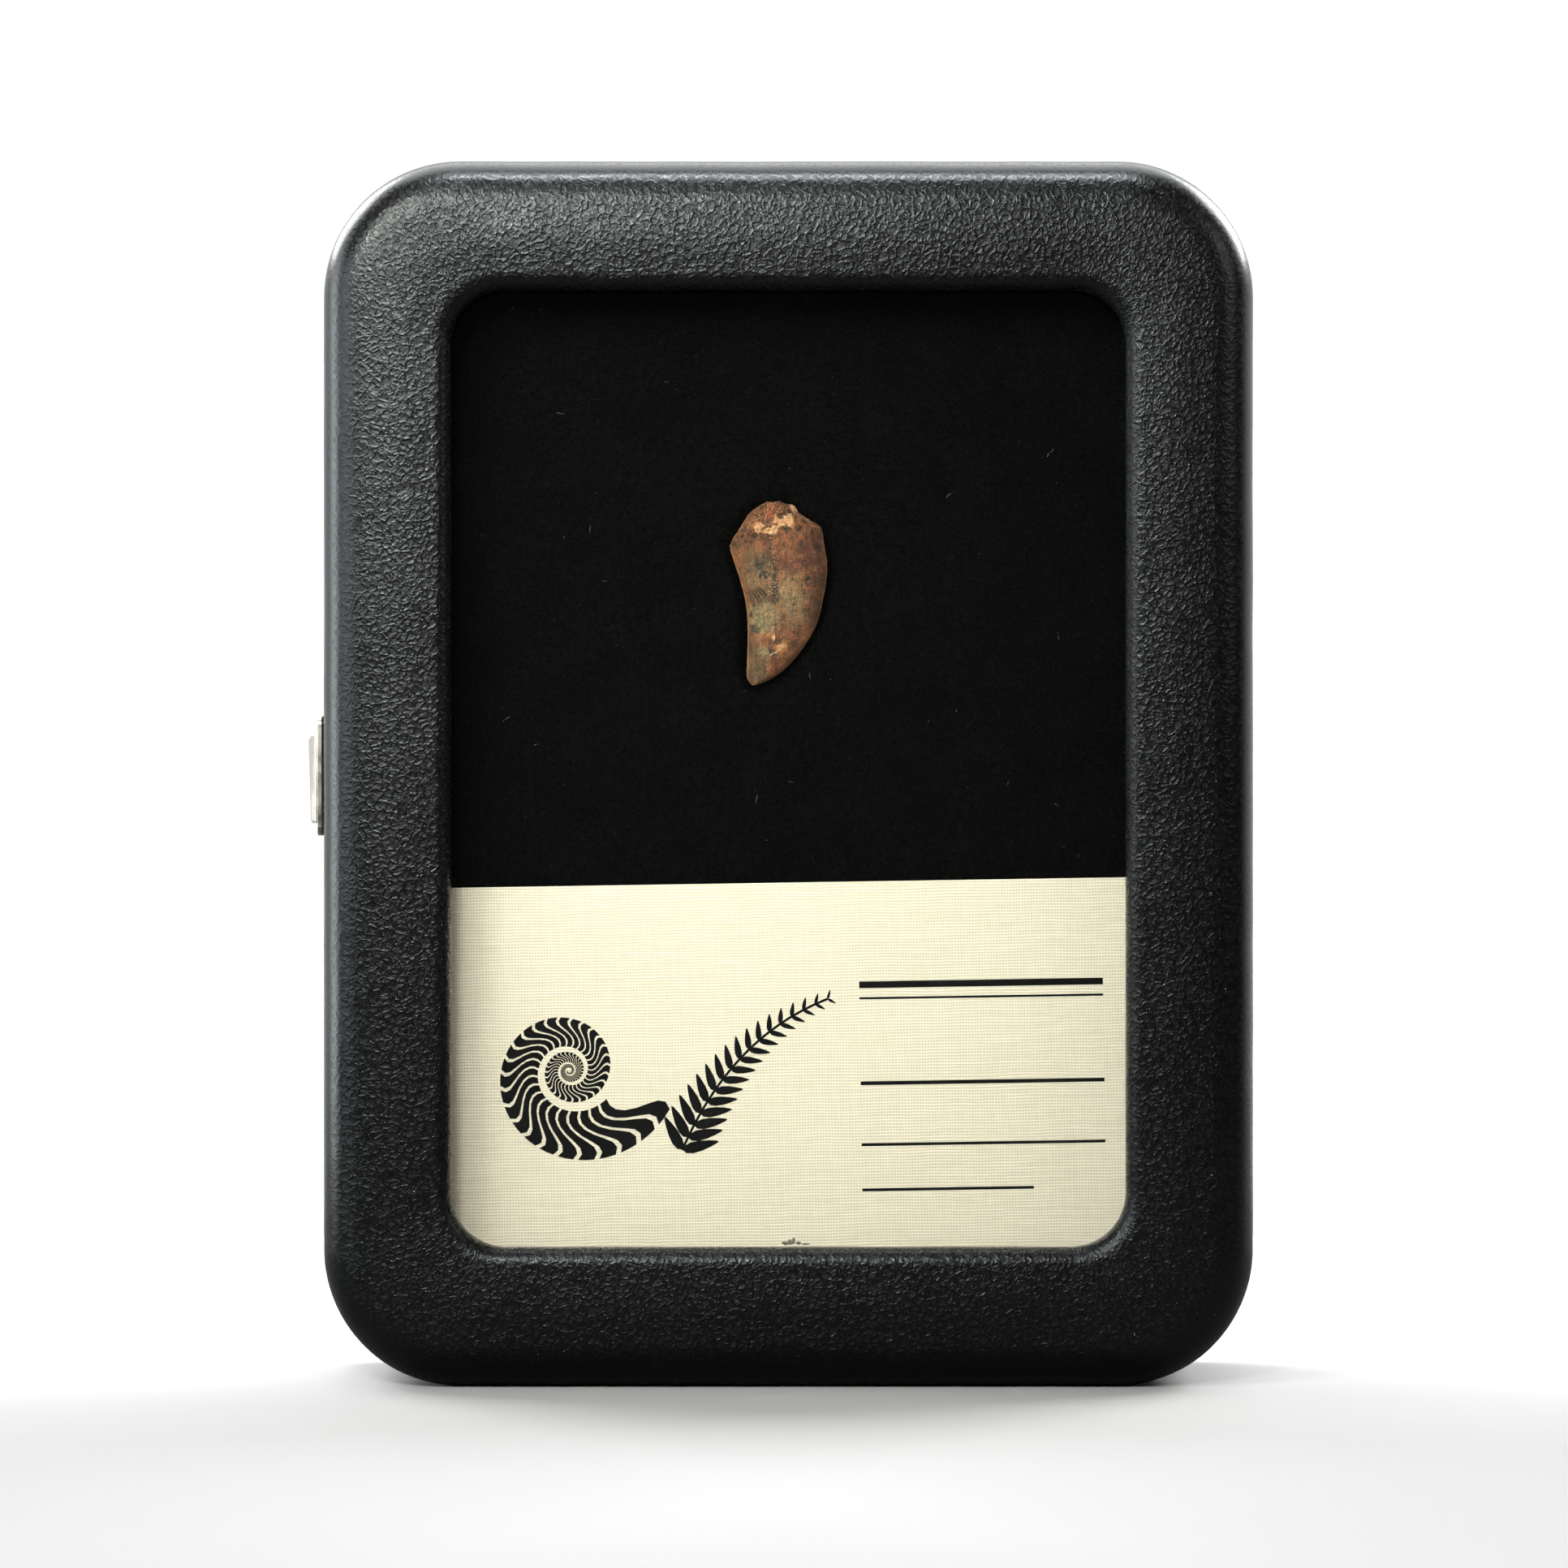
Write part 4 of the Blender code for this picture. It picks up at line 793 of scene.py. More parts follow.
def fossilTooth(material):
    # Refines the CAD tooth, then breaks up its surface: root rubble, matrix, pits and grooves
    t = toothShape
    piece = copyNode("tooth_fossil", "tooth")
    shape = bmesh.new()
    shape.from_mesh(piece.data)
    bmesh.ops.join_triangles(shape, faces=shape.faces, angle_face_threshold=math.pi, angle_shape_threshold=math.pi)
    crease = shape.edges.layers.float.new("crease_edge")
    for edge in shape.edges:
        if all(abs((v.co.y - toothMiddle.y) / mm - seamY) < 0.002 for v in edge.verts):
            edge[crease] = t["carinaCrease"]
    shape.to_mesh(piece.data)
    shape.free()
    finer = piece.modifiers.new("finer", "SUBSURF")
    finer.levels = finer.render_levels = t["subdivisions"]
    applyModifiers(piece)
    mesh = piece.data
    found = (points(mesh) - np.array(toothMiddle)) / mm
    x, z = found[:, 0], found[:, 2]
    normals = np.empty(len(mesh.vertices) * 3)
    mesh.vertex_normals.foreach_get("vector", normals)
    normals = normals.reshape(-1, 3)
    toLeft = x - np.interp(z, leftEdge[:, 1], leftEdge[:, 0])
    toRight = np.interp(z, rightEdge[:, 1], rightEdge[:, 0]) - x
    fromEdge = np.minimum(toLeft, toRight)
    inwards = smoothStep(0.0, 0.5, fromEdge)
    ragged = noiseField(found, 0.3, 5.0, 2)
    past = smoothStep(-0.1, 0.5, z - (t["breakZ"] + t["breakSlope"] * x))
    rise = t["lumps"][1] * noiseField(found, t["lumps"][0], 1.0) * inwards
    rise += t["grit"][1] * noiseField(found, t["grit"][0], 2.0) * (0.4 + 0.6 * inwards)
    rise += t["crumbs"][1] * noiseField(found, t["crumbs"][0], 3.0, 2) * (0.5 + past)
    rubble = noiseField(found, t["rootRubble"][0], 4.0, 4)
    rise += t["rootRubble"][1] * np.abs(rubble) * past * (0.25 + 0.75 * inwards) * np.sign(rubble)
    for mark in toothMarks:
        rise += mark["stands"] * markShare(x, z, mark, ragged * 0.5) * (0.4 + 0.6 * inwards)
    bitten = noiseField(found, 0.45, 7.0, 4)
    matrix = np.zeros(len(x))
    for mark in toothMatrix:
        share = markShare(x, z, mark, bitten)
        rise += mark["stands"] * share * (1 - matrix)
        matrix = np.maximum(matrix, share)
    inFront = smoothStep(0.2, -0.2, found[:, 1] - seamY)
    grooveAndShade = grooveShare(x, z) * inFront
    rise -= t["grooveDepth"] * grooveAndShade
    # painted shade: the sunken hollows of the root rubble are darkened through the same mask as the grooves
    paintedHollowShade = smoothStep(-0.12, -0.4, rubble) * past * inwards
    grooveAndShade = np.maximum(grooveAndShade, 0.75 * paintedHollowShade)
    movePoints(mesh, points(mesh) + normals * rise[:, None] * mm)
    crest = np.exp(-((x - t["crestX"]) / 0.75) ** 2) * smoothStep(-5.6, -3, z)
    grains = np.clip(0.3 + 0.6 * crest + 0.5 * past + 0.6 * noiseField(found, 0.9, 6.0, 3), 0, 1)
    # painted highlight along the cutting edges, weaker in the broken root
    paintedRimLight = smoothStep(0.16, 0.05, fromEdge) * (1 - 0.6 * past)
    for label, values in (("grooveAndShade", grooveAndShade), ("grains", grains), ("paintedRimLight", paintedRimLight), ("matrix", matrix * inFront)):
        mesh.attributes.new(label, "FLOAT", "POINT").data.foreach_set("value", values.astype(np.float32))
    mesh.shade_smooth()
    mesh.materials.append(material)
    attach(piece, "case_base")
    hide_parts("tooth")
    return piece


def serrationTree():
    # Rounded denticles at an even pitch along a line, each a little different
    sizes = {"Pitch": 0.0, "Size": 0.0, "Finish": leatherette}
    tree, given = startTree("growSerration", sizes)
    line = addNode(tree, "GeometryNodeMeshToCurve", {"Mesh": given["Geometry"]})
    spots = addNode(tree, "GeometryNodeCurveToPoints", {"Curve": line, "Length": given["Pitch"]}, mode="LENGTH")
    bead = addNode(tree, "GeometryNodeMeshUVSphere", {"Segments": 8, "Rings": 5, "Radius": given["Size"]})
    stretch = addNode(tree, "FunctionNodeRandomValue", {"Min": (0.75, 0.9, 0.6), "Max": (1.15, 1.2, 0.8), "Seed": 4}, data_type="FLOAT_VECTOR")
    along = addNode(tree, "FunctionNodeAlignRotationToVector", {"Vector": spots.outputs["Tangent"]}, axis="Z")
    placed = addNode(tree, "GeometryNodeInstanceOnPoints", {"Points": spots, "Instance": bead, "Rotation": along, "Scale": stretch})
    real = addNode(tree, "GeometryNodeRealizeInstances", {"Geometry": placed})
    painted = addNode(tree, "GeometryNodeSetMaterial", {"Geometry": real, "Material": given["Finish"]})
    smooth = addNode(tree, "GeometryNodeSetShadeSmooth", {"Geometry": painted})
    addNode(tree, "NodeGroupOutput", {0: smooth})
    return tree


def toothSerration(material):
    # Denticles down both carinae, below the broken root
    places, edges = [], []
    for edge, inwards in ((leftEdge, 1), (rightEdge, -1)):
        kept = edge[(edge[:, 1] > -7.7) & (edge[:, 1] < 4.6)]
        first = len(places)
        for x, z in kept:
            places.append(toothMiddle + Vector((x + inwards * toothShape["serrationSize"] * 0.8, seamY, z)) * mm)
        edges += [(i, i + 1) for i in range(first, len(places) - 1)]
    lines = bpy.data.meshes.new("carinae")
    lines.from_pydata(places, edges, [])
    sizes = {"Pitch": toothShape["serrationPitch"] * mm, "Size": toothShape["serrationSize"] * mm, "Finish": material}
    piece = growMesh("tooth_serration", serrationTree(), sizes, lines)
    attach(piece, "case_base")
    return piece


seamY = 0.0  # height of the two edges over the tooth's middle, read from its widest level below
toothMesh = points(frame["nodes"]["tooth"].data)
widest = toothMesh[np.argmax(toothMesh[:, 0])]
seamY = (widest[1] - toothMiddle.y) / mm
leftEdge, rightEdge = toothOutline(frame["nodes"]["tooth"].data)
enamel = fossilEnamel()
tooth = fossilTooth(enamel)
serration = toothSerration(enamel)
print("tooth made:", countTriangles(tooth), "triangles and", countTriangles(serration), "of serration")


# Velvet pad

pad = {
    "sideGap": 1.0, "rounding": 1.2, "pocketDepth": 1.7, "pocketSlope": 0.7,
    "frontStep": 0.55, "hiddenStep": 3.5, "ripple": (4.5, 0.1),
    "pileSpacing": 0.3, "pileHeight": 0.42, "pileWidth": 0.085, "cardMargin": 0.4,
}


def fromTooth(x, z):
    # Distance in millimetres outside the tooth's outline, negative inside it
    left = np.interp(z, leftEdge[:, 1], leftEdge[:, 0])
    right = np.interp(z, rightEdge[:, 1], rightEdge[:, 0])
    tip, root = leftEdge[0, 1], leftEdge[-1, 1]
    return np.maximum.reduce([left - x, x - right, tip - z, z - root])


def velvetPad():
    # Foam board under velvet: soft front edge, slow ripples, and the pocket that holds the tooth
    inset = caseWrap["wall"] + pad["sideGap"]
    front, back, middle = foamLow.y, foamHigh.y, caseWidth / 2
    face = {
        "step": pad["frontStep"] * mm, "finish": 0.0,
        "corners": [(middle, front, 0), (inset * mm, front, pad["rounding"] * mm), (inset * mm, front + 3 * mm, 0)],
    }
    hidden = {
        "step": pad["hiddenStep"] * mm, "finish": 0.0,
        "corners": [(inset * mm, front + 3 * mm, 0), (inset * mm, back, 0), (middle, back, 0)],
    }
    sizes = wrapSizes(7, middle / mm, 0, Outside=velvet)
    sizes["Wave Height"] = 0.0
    piece = growMesh("velvet_pad", wrap, sizes, sectionMesh("padSection", [face, hidden]))
    mesh = piece.data
    turnFacesOut(mesh)
    places = points(mesh)
    local = (places - np.array(toothMiddle)) / mm
    onFront = smoothStep(0.4, 0.0, (places[:, 1] - front) / mm)
    outside = fromTooth(local[:, 0], local[:, 2])
    dip = pad["pocketDepth"] * smoothStep(pad["pocketSlope"], -0.1, outside)
    ripple = pad["ripple"][1] * noiseField(local, pad["ripple"][0], 9.0, 2)
    places[:, 1] += (dip + np.abs(ripple) * (dip < 0.2)) * onFront * mm
    movePoints(mesh, places)
    fromCard = np.maximum.reduce([places[:, 2] - cardTop(places[:, 0]), cardLow.z - places[:, 2]]) / mm
    fromCard = np.maximum(fromCard, np.maximum(cardLow.x - places[:, 0], places[:, 0] - cardHigh.x) / mm)
    pile = onFront * smoothStep(-0.1, 0.25, outside) * smoothStep(0.0, pad["cardMargin"], fromCard)
    mesh.attributes.new("pile", "FLOAT", "POINT").data.foreach_set("value", pile.astype(np.float32))
    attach(piece, "case_base")
    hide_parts("foam_insert")
    return piece


def cardTop(x):
    # Height of the card's tilted top edge at each x
    slope = math.tan(math.radians(card["tilt"]))
    return cardMiddle.z + card["height"] / 2 * mm + slope * (x - cardMiddle.x)


def pileTree():
    # Tufts of pile over the face, each leaning a little its own way
    sizes = {"Density": 0.0, "Height": 0.0, "Width": 0.0, "Finish": velvet}
    tree, given = startTree("growPile", sizes)
    amount = addNode(tree, "GeometryNodeInputNamedAttribute", {"Name": "pile"}, data_type="FLOAT")
    thick = addNode(tree, "ShaderNodeMath", {0: amount, 1: given["Density"]}, operation="MULTIPLY")
    spots = addNode(tree, "GeometryNodeDistributePointsOnFaces", {"Mesh": given["Geometry"], "Density": thick, "Seed": 11}, distribute_method="RANDOM")
    tuft = addNode(tree, "GeometryNodeMeshCone", {"Vertices": 3, "Radius Top": 0.00001, "Radius Bottom": given["Width"], "Depth": given["Height"]}, fill_type="NONE")
    here = addNode(tree, "GeometryNodeInputPosition")
    wind = addNode(tree, "ShaderNodeTexNoise", {"Vector": here, "Scale": 1 / (3 * mm), "Detail": 2.0})
    level = addNode(tree, "ShaderNodeVectorMath", {0: wind.outputs["Color"], 1: (0.5, 0.5, 0.5)}, operation="SUBTRACT")
    lean = addNode(tree, "ShaderNodeVectorMath", {0: level, 1: (2.6, 0.0, 2.6), 2: spots.outputs["Normal"]}, operation="MULTIPLY_ADD")
    jitter = addNode(tree, "FunctionNodeRandomValue", {"Min": (-0.4, -0.1, -0.6), "Max": (0.4, 0.1, 0.2), "Seed": 3}, data_type="FLOAT_VECTOR")
    aimed = addNode(tree, "ShaderNodeVectorMath", {0: lean, 1: jitter}, operation="ADD")
    turn = addNode(tree, "FunctionNodeAlignRotationToVector", {"Vector": aimed}, axis="Z")
    size = addNode(tree, "FunctionNodeRandomValue", {2: 0.7, 3: 1.15, "Seed": 5}, data_type="FLOAT")
    placed = addNode(tree, "GeometryNodeInstanceOnPoints", {"Points": spots, "Instance": tuft, "Rotation": turn, "Scale": size})
    real = addNode(tree, "GeometryNodeRealizeInstances", {"Geometry": placed})
    painted = addNode(tree, "GeometryNodeSetMaterial", {"Geometry": real, "Material": given["Finish"]})
    addNode(tree, "NodeGroupOutput", {0: painted})
    return tree


def velvetPile(base):
    sizes = {
        "Density": 1 / (pad["pileSpacing"] * mm) ** 2, "Height": pad["pileHeight"] * mm,
        "Width": pad["pileWidth"] * mm, "Finish": velvet,
    }
    piece = growMesh("velvet_pile", pileTree(), sizes, base.data.copy())
    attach(piece, "case_base")
    return piece


# Label card

card = {"width": 72, "height": 35.5, "thickness": 0.35, "tilt": 0.9, "step": 0.6, "warp": 0.05}
motif = {
    "shellAt": (-19.4, 1.4), "shellRadius": 9.2, "ribs": 92, "ribsPerTurn": 27, "growth": 0.165,
    "ribFill": 0.76, "whorlGap": 0.1, "ribSweep": 0.2,
    "leafFrom": (-9.5, -5.8), "leafOver": (-5.0, 4.2), "leafTo": (3.6, 7.4), "leaflets": 17, "leafletLength": 3.3,
    "ruleLeft": 6.4, "rules": ((8.3, 21.6, 0.6), (7.3, 21.6, 0.2), (-0.3, 21.6, 0.34), (-5.7, 21.6, 0.26), (-9.7, 15.2, 0.26)),
    "inkHeight": 0.012,
}
cardPlace = Matrix.Translation(cardMiddle) @ Matrix.Rotation(-math.radians(card["tilt"]), 4, "Y")


def paperCard(material):
    # A stiff sheet with square edges, lying not quite flat
    halfWidth, halfHeight, half = card["width"] / 2, card["height"] / 2, card["thickness"] / 2
    columns, rows = round(card["width"] / card["step"]), round(card["height"] / card["step"])
    shape = bmesh.new()
    bmesh.ops.create_grid(shape, x_segments=columns, y_segments=rows, size=0.5)
    for vert in shape.verts:
        x, z = vert.co.x * card["width"], vert.co.y * card["height"]
        bow = card["warp"] * (2 * (x / halfWidth) ** 2 - 1) * 0.5 + 0.02 * noise.noise(Vector((x, z, 0)) / 9)
        vert.co = Vector((x, half + bow - card["warp"], z))
    walls = bmesh.ops.extrude_face_region(shape, geom=shape.faces[:])
    for item in walls["geom"]:
        if isinstance(item, bmesh.types.BMVert):
            item.co.y -= card["thickness"]
    bmesh.ops.recalc_face_normals(shape, faces=shape.faces)
    for vert in shape.verts:
        vert.co = cardPlace @ (vert.co * mm)
    mesh = bpy.data.meshes.new("label_card_sheet")
    shape.to_mesh(mesh)
    shape.free()
    mesh.shade_smooth()
    mesh.set_sharp_from_angle(angle=math.radians(40))
    mesh.materials.append(material)
    piece = addPiece("label_card_sheet", mesh)
    edges = piece.modifiers.new("edges", "BEVEL")
    edges.width, edges.segments = 0.05 * mm, 2
    edges.limit_method = "ANGLE"
    applyModifiers(piece)
    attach(piece, "case_base")
    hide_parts("label_card")
    return piece


def shellTree():
    # A coiled shell in flat ink: one rib, turned and enlarged again and again about the centre
    sizes = {"Ribs": 1, "Ribs Per Turn": 1.0, "Growth": 0.0, "Radius": 0.0, "Rib Fill": 0.0, "Whorl Gap": 0.0, "Sweep": 0.0, "Finish": velvet}
    tree, given = startTree("growShell", sizes)
    cells = addNode(tree, "GeometryNodeMeshGrid", {"Size X": 1.0, "Size Y": 1.0, "Vertices X": 3, "Vertices Y": 9})
    here = addNode(tree, "GeometryNodeInputPosition")
    parts = addNode(tree, "ShaderNodeSeparateXYZ", {0: here})
    step = addNode(tree, "ShaderNodeMath", {0: math.tau, 1: given["Ribs Per Turn"]}, operation="DIVIDE")
    # Radius from the inner whorl's edge out to 1
    turnGrowth = addNode(tree, "ShaderNodeMath", {0: given["Growth"], 1: -math.tau}, operation="MULTIPLY")
    inner = addNode(tree, "ShaderNodeMath", {0: turnGrowth}, operation="EXPONENT")
    innerEdge = addNode(tree, "ShaderNodeMath", {0: inner, 1: given["Whorl Gap"]}, operation="ADD")
    outwards = addNode(tree, "ShaderNodeMapRange", {"Value": parts.outputs[1], "From Min": -0.5, "From Max": 0.5, "To Min": innerEdge, "To Max": 1.0})
    # Angle of each side of the rib, swept forwards in an S
    width = addNode(tree, "ShaderNodeMath", {0: step, 1: given["Rib Fill"]}, operation="MULTIPLY")
    side = addNode(tree, "ShaderNodeMath", {0: parts.outputs[0], 1: width}, operation="MULTIPLY")
    bend = addNode(tree, "ShaderNodeMath", {0: parts.outputs[1], 1: math.tau * 0.75}, operation="MULTIPLY")
    wave = addNode(tree, "ShaderNodeMath", {0: bend}, operation="SINE")
    angle = addNode(tree, "ShaderNodeMath", {0: wave, 1: given["Sweep"], 2: side}, operation="MULTIPLY_ADD")
    cosine = addNode(tree, "ShaderNodeMath", {0: angle}, operation="COSINE")
    sine = addNode(tree, "ShaderNodeMath", {0: angle}, operation="SINE")
    growing = addNode(tree, "ShaderNodeMath", {0: angle, 1: given["Growth"], 2: 1.0}, operation="MULTIPLY_ADD")
    reach = addNode(tree, "ShaderNodeMath", {0: outwards, 1: growing}, operation="MULTIPLY")
    flat = addNode(tree, "ShaderNodeCombineXYZ", {"X": cosine, "Y": sine, "Z": 0.0})
    ribPlace = addNode(tree, "ShaderNodeVectorMath", {0: flat, "Scale": reach}, operation="SCALE")
    rib = addNode(tree, "GeometryNodeSetPosition", {"Geometry": cells, "Position": ribPlace})
    # The ribs, all about the centre
    spots = addNode(tree, "GeometryNodeMeshLine", {"Count": given["Ribs"], "Start Location": (0, 0, 0), "Offset": (0, 0, 0)})
    number = addNode(tree, "GeometryNodeInputIndex")
    turned = addNode(tree, "ShaderNodeMath", {0: number, 1: step}, operation="MULTIPLY")
    wound = addNode(tree, "ShaderNodeMath", {0: turned, 1: -1.0}, operation="MULTIPLY")
    smaller = addNode(tree, "ShaderNodeMath", {0: wound, 1: given["Growth"]}, operation="MULTIPLY")
    shrink = addNode(tree, "ShaderNodeMath", {0: smaller}, operation="EXPONENT")
    size = addNode(tree, "ShaderNodeMath", {0: shrink, 1: given["Radius"]}, operation="MULTIPLY")
    rotation = addNode(tree, "ShaderNodeCombineXYZ", {"X": 0.0, "Y": 0.0, "Z": wound})
    placed = addNode(tree, "GeometryNodeInstanceOnPoints", {"Points": spots, "Instance": rib, "Rotation": rotation, "Scale": size})
    real = addNode(tree, "GeometryNodeRealizeInstances", {"Geometry": placed})
    painted = addNode(tree, "GeometryNodeSetMaterial", {"Geometry": real, "Material": given["Finish"]})
    addNode(tree, "NodeGroupOutput", {0: painted})
    return tree


def frondTree():
    # Pointed leaflets in pairs along a stem, longest at its start, and the stem itself
    sizes = {"Leaflets": 1, "Length": 0.0, "Side": 1.0, "Stem": 0.0, "Finish": velvet}
    tree, given = startTree("growFrond", sizes)
    stem = addNode(tree, "GeometryNodeMeshToCurve", {"Mesh": given["Geometry"]})
    even = addNode(tree, "GeometryNodeResampleCurve", {"Curve": stem, "Count": given["Leaflets"]}, mode="COUNT")
    along = addNode(tree, "GeometryNodeSplineParameter").outputs["Factor"]
    tangent = addNode(tree, "GeometryNodeInputTangent")
    leaf = addNode(tree, "GeometryNodeMeshCircle", {"Vertices": 12, "Radius": 0.5}, fill_type="NGON")
    here = addNode(tree, "GeometryNodeInputPosition")
    parts = addNode(tree, "ShaderNodeSeparateXYZ", {0: here})
    pinch = addNode(tree, "ShaderNodeMapRange", {"Value": parts.outputs[0], "From Min": -0.5, "From Max": 0.5, "To Min": 0.42, "To Max": 0.14})
    across = addNode(tree, "ShaderNodeMath", {0: parts.outputs[1], 1: pinch}, operation="MULTIPLY")
    moved = addNode(tree, "ShaderNodeMath", {0: parts.outputs[0], 1: 0.52}, operation="ADD")
    leafPlace = addNode(tree, "ShaderNodeCombineXYZ", {"X": moved, "Y": across, "Z": 0.0})
    pointed = addNode(tree, "GeometryNodeSetPosition", {"Geometry": leaf, "Position": leafPlace})
    lengths = addNode(tree, "ShaderNodeMapRange", {"Value": along, "From Min": 0.0, "From Max": 1.0, "To Min": 1.0, "To Max": 0.25})
    size = addNode(tree, "ShaderNodeMath", {0: lengths, 1: given["Length"]}, operation="MULTIPLY")
    facing = addNode(tree, "FunctionNodeAlignRotationToVector", {"Vector": tangent}, axis="X", pivot_axis="Z")
    open_ = addNode(tree, "ShaderNodeMath", {0: given["Side"], 1: math.radians(52)}, operation="MULTIPLY")
    turn = addNode(tree, "ShaderNodeCombineXYZ", {"X": 0.0, "Y": 0.0, "Z": open_})
    opened = addNode(tree, "FunctionNodeRotateRotation", {"Rotation": facing, "Rotate By": turn}, rotation_space="LOCAL")
    placed = addNode(tree, "GeometryNodeInstanceOnPoints", {"Points": even, "Instance": pointed, "Rotation": opened, "Scale": size})
    strip = addNode(tree, "GeometryNodeCurvePrimitiveLine", {"Start": (-0.5, 0, 0), "End": (0.5, 0, 0)})
    thin = addNode(tree, "GeometryNodeCurveToMesh", {"Curve": stem, "Profile Curve": strip, "Scale": given["Stem"]})
    together = addNode(tree, "GeometryNodeJoinGeometry")
    for part in (placed, thin):
        tree.links.new(part.outputs[0], together.inputs[0])
    real = addNode(tree, "GeometryNodeRealizeInstances", {"Geometry": together})
    painted = addNode(tree, "GeometryNodeSetMaterial", {"Geometry": real, "Material": given["Finish"]})
    addNode(tree, "NodeGroupOutput", {0: painted})
    return tree


def cardPrint(material):
    # A generic print: a coiled shell, a fern frond, and plain ruled lines
    parts = []
    sizes = {
        "Ribs": motif["ribs"], "Ribs Per Turn": float(motif["ribsPerTurn"]), "Growth": motif["growth"],
        "Radius": motif["shellRadius"], "Rib Fill": motif["ribFill"], "Whorl Gap": motif["whorlGap"],
        "Sweep": motif["ribSweep"], "Finish": material,
    }
    shell = growMesh("shell", shellTree(), sizes)
    shell.data.transform(Matrix.Translation((*motif["shellAt"], 0)) @ Matrix.Rotation(math.radians(-35), 4, "Z"))
    parts.append(shell)
    start, over, end = (np.array(motif[key]) for key in ("leafFrom", "leafOver", "leafTo"))
    t = np.linspace(0, 1, 40)[:, None]
    curve = start * (1 - t) ** 2 + 2 * over * t * (1 - t) + end * t ** 2
    for side in (1.0, -1.0):
        line = bpy.data.meshes.new("stem")
        line.from_pydata([(x, y, 0) for x, y in curve], [(i, i + 1) for i in range(39)], [])
        sizes = {"Leaflets": motif["leaflets"], "Length": motif["leafletLength"], "Side": side, "Stem": 0.22, "Finish": material}
        parts.append(growMesh("frond", frondTree(), sizes, line))
    shape = bmesh.new()
    for v, length, thick in motif["rules"]:
        across = np.linspace(motif["ruleLeft"], motif["ruleLeft"] + length, round(length / card["step"]) + 1)
        lower, upper = ([shape.verts.new((x, y, 0)) for x in across] for y in (v, v + thick))
        for i in range(len(across) - 1):
            shape.faces.new((lower[i], lower[i + 1], upper[i + 1], upper[i]))
    for part in parts:
        shape.from_mesh(part.data)
        bpy.data.objects.remove(part)
    front = -card["thickness"] / 2 - motif["inkHeight"]
    for vert in shape.verts:
        x, z = vert.co.x, vert.co.y
        bow = card["warp"] * (2 * (x / (card["width"] / 2)) ** 2 - 1) * 0.5 + 0.02 * noise.noise(Vector((x, z, 0)) / 9)
        vert.co = cardPlace @ (Vector((x, front + bow - card["warp"], z)) * mm)
    shape.normal_update()
    for face in shape.faces:
        if face.normal.y > 0:
            face.normal_flip()
    mesh = bpy.data.meshes.new("label_print")
    shape.to_mesh(mesh)
    shape.free()
    mesh.materials.clear()
    mesh.materials.append(material)
    piece = addPiece("label_print", mesh)
    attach(piece, "case_base")
    return piece


velvetBase = velvetPad()
pile = velvetPile(velvetBase)
print("velvet made:", countTriangles(velvetBase), "triangles and", countTriangles(pile), "of pile")
sheet = paperCard(linenCard())
ink = cardPrint(pressInk())
print("card made:", countTriangles(sheet), "triangles and", countTriangles(ink), "of print")


# Clasp and hinges

metalwork = {
    "claspEdge": 0.12, "hingeEdge": 0.06, "edgeSegments": 3,
    "rivetRadius": 0.36, "rivetHeight": 0.14,
}


def softenEdges(name, node, body, width, material):
    # A copy of a stamped metal part with its edges rounded off
    piece = copyNode(name, node)
    piece.data.materials.append(material)
    shape = bmesh.new()
    shape.from_mesh(piece.data)
    bmesh.ops.dissolve_limit(shape, angle_limit=math.radians(1), verts=shape.verts, edges=shape.edges)
    shape.to_mesh(piece.data)
    shape.free()
    edges = piece.modifiers.new("edges", "BEVEL")
    edges.width, edges.segments = width * mm, metalwork["edgeSegments"]
    edges.limit_method = "ANGLE"
    edges.angle_limit = math.radians(35)
    piece.modifiers.new("even", "WEIGHTED_NORMAL")
    piece.data.shade_smooth()
    applyModifiers(piece)
    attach(piece, body)
    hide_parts(node)
    return piece


tongue = softenEdges("clasp_tongue_plate", "clasp_tongue", "lid", metalwork["claspEdge"], nickel)
keeper = softenEdges("clasp_keeper_plate", "clasp_keeper", "case_base", metalwork["claspEdge"] / 2, nickel)
hingeParts = []
for place in ("upper", "lower"):
    for part, body in (("base_leaf", "case_base"), ("lid_leaf", "lid"), ("pin", "case_base")):
        node = f"hinge_{place}_{part}"
        hingeParts.append(softenEdges(f"{node}_steel", node, body, metalwork["hingeEdge"], steel))
print("clasp and hinges made:", sum(countTriangles(p) for p in [tongue, keeper, *hingeParts]), "triangles")


rivets = {
    "clasp_tongue": ((-3.0, 4.5), (-3.0, -4.8)),
    "clasp_keeper": ((4.1, 4.4), (4.1, -4.4)),
}


def rivetTree():
    # Domed rivet heads, one on each point
    sizes = {"Radius": 0.0, "Height": 0.0, "Finish": nickel}
    tree, given = startTree("growRivet", sizes)
    spots = addNode(tree, "GeometryNodeMeshToPoints", {"Mesh": given["Geometry"]})
    ball = addNode(tree, "GeometryNodeMeshUVSphere", {"Segments": 20, "Rings": 10, "Radius": given["Radius"]})
    low = addNode(tree, "ShaderNodeMath", {0: given["Height"], 1: given["Radius"]}, operation="DIVIDE")
    flatten = addNode(tree, "ShaderNodeCombineXYZ", {"X": low, "Y": 1.0, "Z": 1.0})
    heads = addNode(tree, "GeometryNodeInstanceOnPoints", {"Points": spots, "Instance": ball, "Scale": flatten})
    real = addNode(tree, "GeometryNodeRealizeInstances", {"Geometry": heads})
    painted = addNode(tree, "GeometryNodeSetMaterial", {"Geometry": real, "Material": given["Finish"]})
    smooth = addNode(tree, "GeometryNodeSetShadeSmooth", {"Geometry": painted})
    addNode(tree, "NodeGroupOutput", {0: smooth})
    return tree


